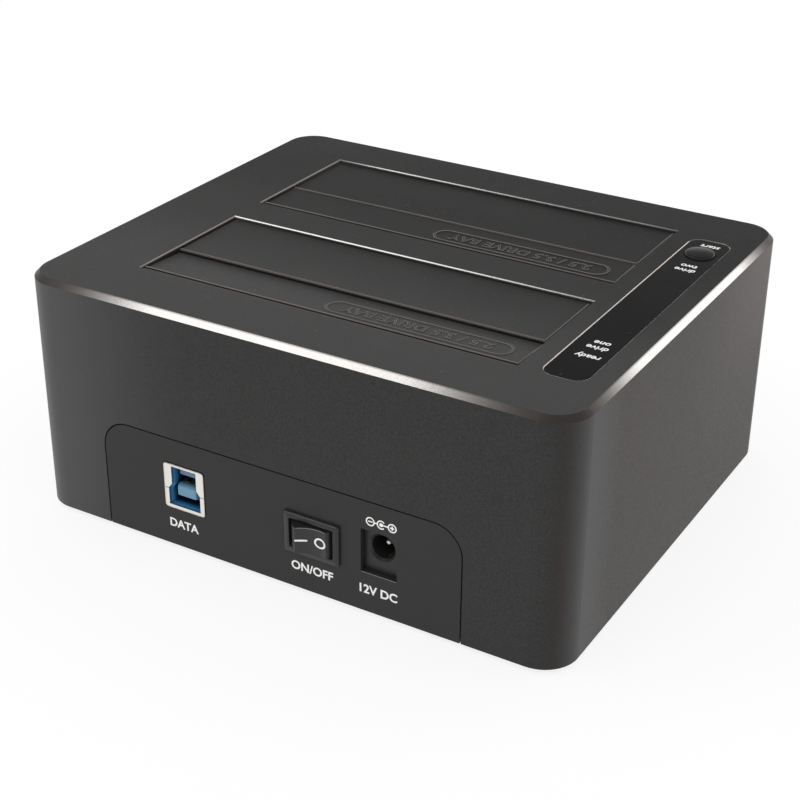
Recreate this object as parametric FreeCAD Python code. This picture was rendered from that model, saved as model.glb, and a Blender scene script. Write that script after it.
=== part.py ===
import FreeCAD, Part
import math
import os

from FreeCAD import Rotation, Vector

os.makedirs("parts", exist_ok=True)

# Two-bay drive duplicator. Millimetres, +Z up, modelled about the middle of the housing.
# The finished solids are moved so that the origin lies on the ground under the middle
# of the whole, the rocker of the switch included.
# The drives stand in two bays across X. The user's front is -Y, the sockets are at +Y,
# and the indicator strip runs along the -X side of the roof.

# Housing
height = 66.0            # ground to the roof face
front_margin = 16.75     # housing's front to the front slot
rear_margin = 18.75      # rear slot to the socket side
slot_between = 12.5      # roof between the two slots
strip_to_side = 6.8      # indicator strip to the side of the housing
slot_to_strip = 5.5      # end of a slot to the strip
wall = 2.2               # side walls
roof = 2.4               # roof plate
corner_radius = 9.0      # upright corners
edge_bevel = 1.4         # bevel round the roof
post_radius = 3.4        # screw posts in the corners
post_inset = 10.5        # post centre to the outer faces
post_rib = 1.4           # web from a post to the walls

# Base
foot_height = 1.2        # feet stand this far below the base
floor = 2.0              # base plate
base_gap = 0.2           # base plate to the housing walls
lip_height = 4.0         # rim on the base plate
lip = 1.4                # its thickness
lip_gap = 0.3            # rim below the webs of the housing's posts
web_gap = 0.4            # rim beside the webs
seam = 0.35              # line round the socket tab
tab_width = 102.5        # socket tab, a part of the base
tab_height = 30.4        # above the base's lower face
tab_radius = 7.5
tab_x = 1.2
tab_flange = 1.5         # flange behind the housing wall
flange_reach = 2.5       # how far it reaches past the tab
gusset_length = 8.0      # gussets that stiffen the tab
gusset_gap = 0.4         # gusset below the board
foot_radius = 5.5
foot_seat = 0.7          # recess for a foot
foot_inset_x = 20.0      # foot centre to the housing's side
foot_inset_y = 15.0
vent_count = 5
vent_pitch = 12.0
vent_width = 2.4
vent_length = 26.0

# Screws
screw_radius = 1.3
head_radius = 2.4
head_height = 1.4
screw_length = 11.0      # the base screws
short_screw = 6.0        # those of the bays and the board
cross_length = 3.0
cross_width = 0.5
cross_depth = 0.8
head_seat = 1.0          # base plate under a head, so the head stays above the feet
pilot_gap = 0.02         # thread to its moulded hole
hole_gap = 0.25          # shank to a clearance hole
screw_sides = 8          # hidden screw heads
shank_sides = 6
boss_sides = 8           # posts inside the housing and the base

# Bays and flaps
slot_length = 105.0      # takes a 101.6 mm wide drive
slot_width = 40.0        # a 26.1 mm drive between the two open flaps
slot_bevel = 0.45
flap_gap = 0.3           # flap to the slot edge
flap_split = 0.5         # between the two flaps
split_share = 15.0       # narrow flap's share of the slot width
flap = 1.6               # flap plate
flap_sink = 0.6          # flap face below the roof face
flap_bevel = 0.25
axis_drop = 4.0          # hinge axis below the flap face
barrel_radius = 1.5
pin_radius = 0.75
pin_gap = 0.05           # running fit, per side
lug_length = 7.0
lug_bevel = 0.8
lug_web = 1.4
droop = {"rear": 3.0, "front": 0.0}   # degrees a narrow flap rests below closed
stop_reach = 0.9         # stop ears reach this far under the roof
stop_width = 5.0
stop_length = 3.0        # the part of a stop ear under its flap
stop_height = 1.8
stop_gap = 0.2           # stop ear below the roof plate
flap_rib = 1.2           # stiffening ribs under a flap
rib_drop = 1.0           # their height below the flap
rib_inset = 0.6          # long rib to the flap's free edge
spring_wire = 0.24
spring_turns = 4
spring_corners = 6       # straight runs to a turn
spring_leg = 7.0
spring_seat = 5.0        # block on the frame that a leg rests on
seat_drop = 3.0          # its top below the hinge axis
seat_below = 2.0         # its foot below the leg's end
frame_wall = 1.6
frame_gap = 0.4          # slot edge to the frame's inner face
end_room = 1.5           # the same at the ends, room for the stop ears
guide_width = 27.4       # between the lower guides
guide_length = 102.8
funnel_below = 1.4       # funnel's upper edge below the open flaps
funnel_rise = 7.0        # height of the funnel
window_x = 10.0          # start of the opening in a bay's floor
window_rim = 3.0         # floor left along its long sides, twice that at its end
floor_to_board = 5.4     # a drive's lower edge above the board
web = 1.2                # outer webs beside the funnel
web_below = 8.0          # their foot below the lower guide's top
ear_radius = 3.0
ear_plate = 2.0
ear_drop = 8.6           # ear below the roof plate
ear_from_end = 11.5      # ears to the ends of a slot, one to the rear and one to the front

# Indicator strip
strip_width = 11.2
strip_front = 18.8       # strip to the housing's front
strip_rear = 18.2        # strip to the socket side
strip_radius = 3.4
strip_plate = 1.1        # lens plate in its recess
lens_gap = 0.15
ledge = 1.3              # the recess edge that carries the lens
lens_plug = 1.6          # lens below its plate
button_radius = 3.9
button_from_end = 9.5
button_gap = 0.2
button_proud = 0.9
button_dome = 0.7        # rise of the domed top
dome_share = 0.55        # flat middle of the dome, of the button's radius
button_travel = 0.4
button_collar = 0.8      # button's side below the lens
button_flare = 0.3       # two ears past the button's side keep it in
button_ear = 3.0         # width of the two ears
collar_gap = 0.3         # ears' foot below the button's side
upper_board = 1.2
upper_board_drop = 6.9   # strip's board below the lens
upper_board_side = 0.3   # board to the strip's edges
upper_board_end = 3.5    # board to the strip's ends
button_to_post = 10.0    # button to the nearer post of the board
end_to_post = 7.5        # strip's end to the other post
tact_height = 3.1        # push switch under the button
tact_width = 6.0
plunger_radius = 1.2
plunger_rise = 0.9
plunger_seat = 0.2       # plunger's lower end inside the push switch
stem_radius = 1.5
upper_post_radius = 2.2
upper_screw_radius = 0.8
led_count = 6
led_pitch = 8.6
led_offset = 8.0         # middle of the row, rearward of the strip's middle

# Main board and sockets
board = 1.6
board_top = 12.2
board_in = 1.5           # board's sides inside the ends of the slots
board_to_front = 12.0    # board to the housing's front
board_gap = 0.6          # board to the tab's flange
standoff_radius = 2.8
standoff_side = 5.5      # standoff to the board's sides
standoff_front_in = 5.0
standoff_rear_in = 9.2
chip_size = 12.0
chip_height = 1.2
chip_in = 21.0           # chip to the board's +X side
power_chip_size = 5.0
power_chip_height = 1.4
power_chip_in = (11.0, 39.0)   # power chips to the board's -X and +X sides
lead_pitch = 2.4
lead_width = 0.8
lead_reach = 0.9
lead_height = 0.4
can_radius = 2.9
can_height = 7.0
can_in = 5.7             # can to the board's rear edge
can_to_jack = 10.3       # can beyond the power jack
can_to_port = 12.0       # can beyond the data port
coil_size = 6.4
coil_height = 3.0
coil_x = (2.0, 10.0)
coil_in = 2.3            # coil to the board's rear edge
coil_corner = 0.8
header_width = 12.0      # ribbon headers
header_thick = 3.0
low_header = 5.0
high_header = 4.0
ribbon_width = 10.0
ribbon = 0.8
ribbon_turn = 24.0       # height where the ribbon turns outward
socket_x = -24.0         # drive socket, beside the middle of its bay
socket_offset = 10.4     # its row of contacts, rearward of the bay's middle
socket_length = 42.6
socket_depth = 5.6
socket_height = 9.8
socket_slot = 2.3
socket_floor = 2.5       # bottom of its slots above the board
data_slot = 11.0
power_slot = 21.2
slot_wall = 2.0
contact_pitch = 1.27
port_x = 28.0
port_width = 12.1
port_height = 12.6
port_depth = 17.0
port_proud = 0.3
port_sheet = 0.35
port_corner = 0.7        # bevelled corners of the shell
port_lip = 1.3           # folded lip beside the wide lower opening
port_shoulder = 2.4      # the same beside the narrow upper opening
port_waist = 5.6         # top of the wide opening, above the shell's foot
port_liner = 0.5         # insert's wall inside the shell
port_liner_in = 0.9      # its edge behind the shell's face
tongue_width = 5.6
tongue_height = 3.6
tongue_rise = 4.4        # tongue's middle above the shell's foot
tongue_in = 2.0          # tongue's end behind the shell's face
tongue_bevel = 0.5
shelf_rise = 1.8         # upper tongue above the main one
shelf = 1.4
shelf_in = 0.6           # its sides and end inside those of the main one
switch_x = -9.8
switch_z = 17.0
bezel_width = 15.6
bezel_height = 11.2
bezel_proud = 0.9
bezel_frame = 1.7
bezel_over = 1.0         # bezel past the switch's body
bezel_bevel = 0.5
switch_well = 6.0        # depth of the room for the rocker
axle_end = 0.5           # axle into each side of the body
axle_end_gap = 0.1
switch_depth = 11.0
rocker_angle = 13.0      # each way from the middle
rocker_crest = 3.3       # middle of the dished face, outward of its axis
rocker_rise = 1.0        # ends of the face past its middle
rocker_gap = 0.3         # rocker to the bezel, all round
rocker_heel = 0.8        # its inner side short of the ends
rocker_back = 1.4        # inner side of the rocker behind its axis
axle_radius = 0.9
rocker_axis = 1.6        # axis behind the tab's outer face
jack_x = -28.2
jack_width = 9.4
jack_height = 11.6
jack_depth = 13.5
jack_recess = 1.6        # jack's face behind the tab's outer face
jack_hole = 3.1
jack_hole_z = 7.0        # above the board
jack_back = 3.0          # jack's body behind the bottom of its hole
jack_mouth = 0.6         # bevel round the hole
jack_pin = 1.0
jack_pin_in = 1.5        # pin's end behind the jack's face
jack_leaf = 0.3          # contact leaf below the pin
leaf_width = 2.0
leaf_in = 3.0            # leaf's end behind the jack's face
leaf_gap = 0.2           # leaf to the hole's wall
window_gap = 0.2

# Worked out
width = slot_length + 2 * (slot_to_strip + strip_width + strip_to_side)
depth = front_margin + slot_width + slot_between + slot_width + rear_margin
bay_pitch = slot_width + slot_between
bay_middle = (front_margin - rear_margin) / 2
rear = depth / 2
front = -depth / 2
under_roof = height - roof
inner_x = width / 2 - wall
inner_y = depth / 2 - wall
base_z = foot_height
floor_top = base_z + floor
post_x = width / 2 - post_inset
post_y = depth / 2 - post_inset
post_bottom = floor_top + 1.0
flap_top = height - flap_sink
axis_z = flap_top - axis_drop
axis_v = slot_width / 2 - flap_gap - barrel_radius
split_v = slot_width / 2 - split_share
frame_v = slot_width / 2 + frame_gap
frame_u = slot_length / 2 + end_room
guide_v = guide_width / 2
guide_u = guide_length / 2
guide_floor = board_top + floor_to_board
funnel_top = axis_z - axis_v - split_v - funnel_below
guide_top = funnel_top - funnel_rise
ear_top = under_roof - ear_drop
ear_x = slot_length / 2 - ear_from_end
foot_x = width / 2 - foot_inset_x
foot_y = depth / 2 - foot_inset_y
spring_mean = pin_radius + pin_gap + 2 * spring_wire
spring_outer = spring_mean + spring_wire + 0.03
bay_y = {"rear": bay_middle + bay_pitch / 2, "front": bay_middle - bay_pitch / 2}
strip_x = strip_to_side + strip_width / 2 - width / 2
strip_y = (strip_front - strip_rear) / 2
strip_length = depth - strip_front - strip_rear
button_y = front + strip_front + button_from_end
lens_under = height - strip_plate - lens_plug
upper_board_top = lens_under - upper_board_drop
upper_posts = (strip_length / 2 - end_to_post, button_y - strip_y + button_to_post)
board_x = slot_length / 2 - board_in
board_front = front + board_to_front
board_rear = rear - wall - tab_flange - board_gap
standoff_x = board_x - standoff_side
port_z = board_top
jack_face = rear - jack_recess
rocker_y = rear - rocker_axis
rocker_reach = bezel_width / 2 - bezel_frame - rocker_gap
rocker_end = math.sqrt(rocker_reach ** 2 - (rocker_crest + rocker_rise) ** 2)
rocker_lean = math.radians(rocker_angle)
rocker_tip = (rocker_y + (rocker_crest + rocker_rise) * math.cos(rocker_lean)
              + rocker_end * math.sin(rocker_lean))
origin_y = (rocker_tip + front) / 2


def block(x0, x1, y0, y1, z0, z1):
    return Part.makeBox(x1 - x0, y1 - y0, z1 - z0, Vector(x0, y0, z0))


def rounded(cx, cy, sx, sy, z0, z1, radius):
    """Upright block with rounded corners."""
    solid = block(cx - sx / 2, cx + sx / 2, cy - sy / 2, cy + sy / 2, z0, z1)
    return solid.makeFillet(radius, [e for e in solid.Edges if runs(e, 2)])


def runs(edge, axis):
    """True for a straight edge that runs along the given axis."""
    if not isinstance(edge.Curve, Part.Line):
        return False
    return abs(abs(edge.Curve.Direction[axis]) - 1) < 1e-6


def post(x, y, z0, z1, radius):
    return Part.makeCylinder(radius, z1 - z0, Vector(x, y, z0))


def along_x(x0, x1, y, z, radius):
    return Part.makeCylinder(radius, x1 - x0, Vector(x0, y, z), Vector(1, 0, 0))


def grip_along_x(x0, x1, y, z, radius):
    """Moulded hole along X that holds a pin of the radius between eight flats."""
    hole = boss(0, 0, x0, x1, radius / math.cos(math.pi / boss_sides))
    hole.rotate(Vector(0, 0, 0), Vector(0, 1, 0), 90)
    return hole.translated(Vector(0, y, z))


def along_y(x, y0, y1, z, radius):
    return Part.makeCylinder(radius, y1 - y0, Vector(x, y0, z), Vector(0, 1, 0))


def extruded(points, direction):
    """Closed outline through the points, pushed along a direction."""
    return Part.Face(Part.makePolygon(points + points[:1])).extrude(direction)


def fused(solids):
    whole = solids[0]
    if len(solids) > 1:
        whole = whole.fuse(solids[1:])
    return whole.removeSplitter()


def save(name, solids):
    shape = solids
    if isinstance(solids, list):
        shape = Part.makeCompound(solids)
    shape = shape.translated(Vector(0, -origin_y, 0))
    shape.exportStep("parts/" + name + ".step")


def corners(x, y):
    return [(sx * x, sy * y) for sx in (-1, 1) for sy in (-1, 1)]


def prism(x, y, z0, z1, radius, sides):
    """Upright bar with flat sides whose corners lie on the radius."""
    turns = [2 * math.pi * n / sides for n in range(sides)]
    return extruded([Vector(x + radius * math.cos(a), y + radius * math.sin(a), z0) for a in turns],
                    Vector(0, 0, z1 - z0))


def boss(x, y, z0, z1, radius):
    return prism(x, y, z0, z1, radius, boss_sides)


def pilot(x, y, z0, z1, radius=screw_radius):
    """Moulded hole that a screw's shank fills."""
    return prism(x, y, z0, z1, radius + pilot_gap, shank_sides)


def screw(x, y, face, length, up=1):
    """Screw with its head against a face, and its shank up or down into the moulded hole."""
    ends = sorted((face, face + up * length))
    head_ends = sorted((face, face - up * head_height))
    shank = prism(x, y, *ends, screw_radius, shank_sides)
    return shank.fuse(prism(x, y, *head_ends, head_radius, screw_sides))


def cross_head_screw(x, y, face, length):
    """Screw from below with a round head and a cross recess, for the base."""
    body = prism(x, y, face, face + length, screw_radius, shank_sides)
    body = body.fuse(boss(x, y, face - head_height, face, head_radius))
    deep = face - head_height + cross_depth
    for sx, sy in ((cross_length, cross_width), (cross_width, cross_length)):
        body = body.cut(block(x - sx / 2, x + sx / 2, y - sy / 2, y + sy / 2, face - head_height - 1, deep))
    return body


# Top housing
def tab_outline(grow, y0, y1, bottom):
    """Upright plate with two rounded upper corners, the shape of the socket tab."""
    half = tab_width / 2 + grow
    top = base_z + tab_height + grow
    plate = block(tab_x - half, tab_x + half, y0, y1, bottom, top)
    upper = [e for e in plate.Edges if runs(e, 1) and e.BoundBox.ZMin > top - 1]
    return plate.makeFillet(tab_radius + grow, upper)


def make_top_housing():
    outer = rounded(0, 0, width, depth, base_z, height, corner_radius)
    rim = [e for e in outer.Edges if e.BoundBox.ZMin > height - 1e-6]
    outer = outer.makeChamfer(edge_bevel, rim)
    inner = rounded(0, 0, 2 * inner_x, 2 * inner_y, base_z - 1, under_roof, corner_radius - wall)
    shell = outer.cut(inner)
    added = []
    for x, y in corners(post_x, post_y):
        added.append(boss(x, y, post_bottom, under_roof, post_radius))
        to_x = math.copysign(inner_x, x)
        to_y = math.copysign(inner_y, y)
        added.append(block(min(x, to_x), max(x, to_x), y - post_rib / 2, y + post_rib / 2,
                           post_bottom, under_roof))
        added.append(block(x - post_rib / 2, x + post_rib / 2, min(y, to_y), max(y, to_y),
                           post_bottom, under_roof))
    for y in bay_y.values():
        for x, ear in ear_places(y):
            added.append(boss(x, ear, ear_top, under_roof, ear_radius))
    for y in upper_posts:
        added.append(boss(strip_x, strip_y + y, upper_board_top, under_roof - lens_plug, upper_post_radius))
        added.append(block(-inner_x, strip_x, strip_y + y - post_rib / 2, strip_y + y + post_rib / 2,
                           upper_board_top, under_roof))
    shell = shell.fuse(added)
    cuts = [pilot(x, y, post_bottom - 1, post_bottom + 14) for x, y in corners(post_x, post_y)]
    for y in bay_y.values():
        cuts.append(bevelled_slot(y))
        for x, ear in ear_places(y):
            cuts.append(pilot(x, ear, ear_top - 1, ear_top + 6))
    for y in upper_posts:
        cuts.append(pilot(strip_x, strip_y + y, upper_board_top - 1, upper_board_top + 4,
                          upper_screw_radius))
    cuts.append(rounded(strip_x, strip_y, strip_width, strip_length, height - strip_plate, height + 1,
                        strip_radius))
    cuts.append(rounded(strip_x, strip_y, strip_width - 2 * ledge, strip_length - 2 * ledge,
                        under_roof - lens_plug, height, strip_radius - ledge))
    cuts.append(post(strip_x, button_y, under_roof - 1, height, button_radius + button_flare + button_gap))
    cuts.append(tab_outline(seam, rear - wall - 1, rear + 1, base_z - 1))
    return shell.cut(cuts).removeSplitter()


def bevelled_slot(y):
    """Room of a slot through the roof, its upper edge bevelled."""
    half = slot_width / 2
    wide = half + slot_bevel
    reach = slot_length / 2
    across = [Vector(0, y - half, under_roof - 1), Vector(0, y - half, height - slot_bevel),
              Vector(0, y - wide, height), Vector(0, y + wide, height),
              Vector(0, y + half, height - slot_bevel), Vector(0, y + half, under_roof - 1)]
    along = [Vector(-reach, 0, under_roof - 1), Vector(-reach, 0, height - slot_bevel),
             Vector(-reach - slot_bevel, 0, height), Vector(reach + slot_bevel, 0, height),
             Vector(reach, 0, height - slot_bevel), Vector(reach, 0, under_roof - 1)]
    a = extruded(across, Vector(width, 0, 0)).translated(Vector(-width / 2, 0, 0))
    b = extruded(along, Vector(0, depth, 0)).translated(Vector(0, y - depth / 2, 0))
    return a.common(b)


def ear_places(y):
    """X and Y of the two screws that hold a bay frame under the roof."""
    reach = frame_v + frame_wall + ear_radius
    return [(-ear_x, y + reach), (ear_x, y - reach)]


# Base tray
def make_base_tray():
    size_x = 2 * (inner_x - base_gap)
    size_y = 2 * (inner_y - base_gap)
    radius = corner_radius - wall - base_gap
    plate = rounded(0, 0, size_x, size_y, base_z, floor_top, radius)
    rim = rounded(0, 0, size_x, size_y, base_z, floor_top + lip_height, radius)
    rim = rim.cut(rounded(0, 0, size_x - 2 * lip, size_y - 2 * lip, base_z - 1, floor_top + lip_height + 1,
                          radius - lip))
    notch = post_rib / 2 + web_gap
    low = post_bottom - lip_gap
    high = low + lip_height
    for x, y in corners(post_x, post_y):
        rim = rim.cut(block(min(x, 2 * x), max(x, 2 * x), y - notch, y + notch, low, high))
        rim = rim.cut(block(x - notch, x + notch, min(y, 2 * y), max(y, 2 * y), low, high))
    tab = tab_outline(0, rear - wall, rear, base_z)
    flange = tab_outline(flange_reach, rear - wall - tab_flange, rear - wall - base_gap, base_z)
    bridge = tab_outline(-1, rear - wall - tab_flange, rear - wall, base_z)
    added = [rim, tab, flange, bridge]
    for x, y in standoff_places():
        added.append(boss(x, y, base_z, board_top - board, standoff_radius))
    for x in (-tab_width / 4, tab_width / 4):
        gusset = [Vector(x, rear - wall, floor_top), Vector(x, rear - wall - gusset_length, floor_top),
                  Vector(x, rear - wall, board_top - board - gusset_gap)]
        added.append(extruded(gusset, Vector(lip, 0, 0)))
    tray = plate.fuse(added)
    cuts = []
    for x, y in corners(foot_x, foot_y):
        cuts.append(post(x, y, base_z - 1, base_z + foot_seat, foot_radius))
    for x, y in corners(post_x, post_y):
        cuts.append(boss(x, y, base_z - 1, base_z + head_seat, head_radius + hole_gap))
        cuts.append(prism(x, y, base_z - 1, floor_top + 1, screw_radius + hole_gap, shank_sides))
    for x, y in standoff_places():
        cuts.append(pilot(x, y, floor_top, board_top))
    for n in range(vent_count):
        x = (n - (vent_count - 1) / 2) * vent_pitch
        for y in bay_y.values():
            cuts.append(block(x - vent_width / 2, x + vent_width / 2, y - vent_length / 2,
                              y + vent_length / 2, base_z - 1, floor_top + 1))
    cuts += tab_windows()
    return tray.cut(cuts).removeSplitter()


def standoff_places():
    return [(sx * standoff_x, y) for sx in (-1, 1)
            for y in (board_front + standoff_front_in, board_rear - standoff_rear_in)]


def tab_windows():
    """Openings in the socket tab: data port, switch body, power jack."""
    y0 = rear - wall - tab_flange - 1
    y1 = rear + 1
    port = port_outline(window_gap)
    body_x = bezel_width / 2 - bezel_over + window_gap
    body_z = bezel_height / 2 - bezel_over + window_gap
    jack_half = jack_width / 2 + window_gap
    return [port.extrude(Vector(0, y1 - y0, 0)).translated(Vector(0, y0, 0)),
            block(switch_x - body_x, switch_x + body_x, y0, y1, switch_z - body_z, switch_z + body_z),
            block(jack_x - jack_half, jack_x + jack_half, y0, y1, board_top - window_gap,
                  board_top + jack_height + window_gap)]


def port_outline(grow):
    """Face of the data port's shell on the plane Y = 0."""
    half = port_width / 2 + grow
    low = port_z - grow
    high = port_z + port_height + grow
    c = port_corner
    side = [(half - c, low), (half, low + c), (half, high - c), (half - c, high)]
    return port_face(side)


def port_face(side):
    """Flat face of the port that is alike on both sides of its middle."""
    points = [Vector(port_x + x, 0, z) for x, z in side]
    points += [Vector(port_x - x, 0, z) for x, z in reversed(side)]
    return Part.Face(Part.makePolygon(points + points[:1]))


def port_opening(grow):
    """The port's opening on the plane Y = 0: wide below, a narrower step above."""
    wide = port_width / 2 - port_lip + grow
    narrow = port_width / 2 - port_shoulder + grow
    low = port_z + port_sheet - grow
    high = port_z + port_height - port_sheet + grow
    waist = port_z + port_waist
    slope = port_shoulder - port_lip
    return port_face([(wide, low), (wide, waist), (narrow, waist + slope), (narrow, high)])


# Bay frames
def make_bay_frame(y):
    def funnel(grow, bottom, top):
        """Wide above for the open flaps, sloping in to the narrow lower guide."""
        across = [(guide_v + grow, bottom), (guide_v + grow, guide_top), (frame_v + grow, funnel_top),
                  (frame_v + grow, top)]
        profile = [Vector(0, y + v, z) for v, z in across]
        profile += [Vector(0, y - v, z) for v, z in reversed(across)]
        long = [(guide_u + grow, bottom), (guide_u + grow, guide_top), (frame_u + grow, funnel_top),
                (frame_u + grow, top)]
        side = [Vector(u, 0, z) for u, z in long] + [Vector(-u, 0, z) for u, z in reversed(long)]
        a = extruded(profile, Vector(width, 0, 0)).translated(Vector(-width / 2, 0, 0))
        b = extruded(side, Vector(0, width, 0)).translated(Vector(0, y - width / 2, 0))
        return a.common(b)

    frame = funnel(frame_wall, guide_floor - frame_wall, under_roof)
    added = []
    for x, ear in ear_places(y):
        inward = y + math.copysign(frame_v + frame_wall / 2, ear - y)
        added.append(boss(x, ear, ear_top - ear_plate, ear_top, ear_radius))
        added.append(block(x - ear_radius, x + ear_radius, min(ear, inward), max(ear, inward),
                           ear_top - ear_plate, ear_top))
    for x in (-guide_u / 2, guide_u / 2):
        for side in (-1, 1):
            v0 = y + side * (guide_v + frame_wall / 2)
            v1 = y + side * (frame_v + frame_wall / 2)
            rib = [Vector(x, v0, guide_top - web_below), Vector(x, v0, guide_top), Vector(x, v1, funnel_top),
                   Vector(x, v1, funnel_top - ear_plate)]
            added.append(extruded(rib, Vector(web, 0, 0)))
    frame = frame.fuse(added).cut(funnel(0, guide_floor, under_roof + 1))
    for side in (-1, 1):
        seat_y = y + side * (axis_v + spring_outer)
        wall_y = y + side * frame_v
        seat = block(spring_x() - spring_seat / 2, spring_x() + spring_seat / 2, min(seat_y, wall_y),
                     max(seat_y, wall_y), axis_z - spring_leg - seat_below, axis_z - seat_drop)
        frame = frame.fuse(seat)
    cuts = []
    for x, ear in ear_places(y):
        cuts.append(prism(x, ear, ear_top - ear_plate - 1, ear_top + 1, screw_radius + hole_gap,
                          shank_sides))
    pin_end = frame_u + frame_wall
    for side in (-1, 1):
        cuts.append(grip_along_x(-pin_end, pin_end, y + side * axis_v, axis_z, pin_radius))
    half = socket_length / 2 + 1.0
    side = socket_depth / 2 + 0.3
    cuts.append(block(socket_x - half, socket_x + half, y + socket_offset - side, y + socket_offset + side,
                      guide_floor - frame_wall - 1, guide_floor + 1))
    window_y = guide_v - window_rim
    cuts.append(block(window_x, guide_u - 2 * window_rim, y - window_y, y + window_y,
                      guide_floor - frame_wall - 1, guide_floor + 1))
    return frame.cut(cuts).removeSplitter()


def spring_x():
    """Middle of a flap spring, just inboard of the lug at +X."""
    return slot_length / 2 - flap_gap - lug_length - (spring_turns + 1) * spring_wire - 0.4


# Flaps
def lug(x):
    """Hinge lug round the axis, its four long edges bevelled."""
    r = barrel_radius
    solid = block(x, x + lug_length, axis_v - r, axis_v + r, axis_z - r, axis_z + r)
    return solid.makeChamfer(lug_bevel, [e for e in solid.Edges if runs(e, 0)])


def make_flap(side, inner_edge):
    """Flap in a bay at Y = 0, hinged at the slot edge on the given side of the bay."""
    half = slot_length / 2 - flap_gap
    outer_edge = slot_width / 2 - flap_gap
    plate = block(-half, half, inner_edge, outer_edge, flap_top - flap, flap_top)
    plate = plate.makeChamfer(flap_bevel, [e for e in plate.Edges if e.BoundBox.ZMin > flap_top - 1e-6])
    added = []
    for x in (-half, half - lug_length):
        added.append(lug(x))
        added.append(block(x, x + lug_length, outer_edge - lug_web, outer_edge, axis_z, flap_top - flap / 2))
    stop_mid = (inner_edge + axis_v) / 2
    stop_top = under_roof - stop_gap
    for x in (-half - stop_reach, half - stop_length):
        added.append(block(x, x + stop_length + stop_reach, stop_mid - stop_width / 2,
                           stop_mid + stop_width / 2, stop_top - stop_height, stop_top))
    rib_low = flap_top - flap - rib_drop
    rib_high = flap_top - flap / 2
    long_rib = inner_edge + rib_inset
    for x in (-half + flap_rib, half - 2 * flap_rib):
        added.append(block(x, x + flap_rib, long_rib, stop_mid, rib_low, rib_high))
    added.append(block(-half + flap_rib, half - flap_rib, long_rib, long_rib + flap_rib, rib_low, rib_high))
    flap_solid = plate.fuse(added)
    bore = along_x(-half - 1, half + 1, axis_v, axis_z, pin_radius + pin_gap)
    flap_solid = flap_solid.cut(bore).removeSplitter()
    if side < 0:
        flap_solid = flap_solid.mirror(Vector(0, 0, 0), Vector(0, 1, 0))
    return flap_solid


def make_flap_spring(side, y, tilt):
    """Torsion spring on the hinge pin: one leg on the frame, the other under the flap."""
    pitch = 2 * spring_wire + 0.1
    half = pitch * spring_turns / 2
    lift = flap_top - flap - axis_z - spring_wire
    tip = Rotation(Vector(1, 0, 0), tilt)
    path = [Vector(-half, spring_mean, -spring_leg), Vector(-half, spring_mean, 0)]
    for n in range(1, spring_turns * spring_corners + 1):
        a = 2 * math.pi * n / spring_corners
        path.append(Vector(-half + pitch * n / spring_corners, spring_mean * math.cos(a),
                           spring_mean * math.sin(a)))
    path.append(tip.multVec(Vector(path[-1].x, spring_mean / 2, lift)))
    path.append(tip.multVec(Vector(path[-1].x, -spring_leg, lift)))
    profile = Part.makePolygon([path[0] + Vector(math.cos(a) * spring_wire, math.sin(a) * spring_wire, 0)
                                for a in (0, math.pi / 2, math.pi, 3 * math.pi / 2, 0)])
    spring = Part.Solid(Part.makePolygon(path).makePipeShell([profile], True, False, 1))
    if side < 0:
        spring = spring.mirror(Vector(0, 0, 0), Vector(0, 1, 0))
    return spring.translated(Vector(spring_x(), y + side * axis_v, axis_z))


def make_bays():
    pins = []
    screws = []
    for name, y in bay_y.items():
        save("bay_frame_" + name, make_bay_frame(y))
        narrow = make_flap(1, split_v + flap_split / 2).translated(Vector(0, y, 0))
        narrow.rotate(Vector(0, y + axis_v, axis_z), Vector(1, 0, 0), droop[name])
        save("narrow_flap_" + name, narrow)
        save("wide_flap_" + name, make_flap(-1, flap_split / 2 - split_v).translated(Vector(0, y, 0)))
        for side, kind in ((1, "narrow"), (-1, "wide")):
            tilt = droop[name] if kind == "narrow" else 0
            save(kind + "_flap_spring_" + name, make_flap_spring(side, y, tilt))
            pins.append(along_x(-frame_u - frame_wall, frame_u + frame_wall, y + side * axis_v, axis_z,
                                pin_radius))
        for x, ear in ear_places(y):
            screws.append(screw(x, ear, ear_top - ear_plate, short_screw))
    save("hinge_pins", pins)
    save("bay_screws", screws)


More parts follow.
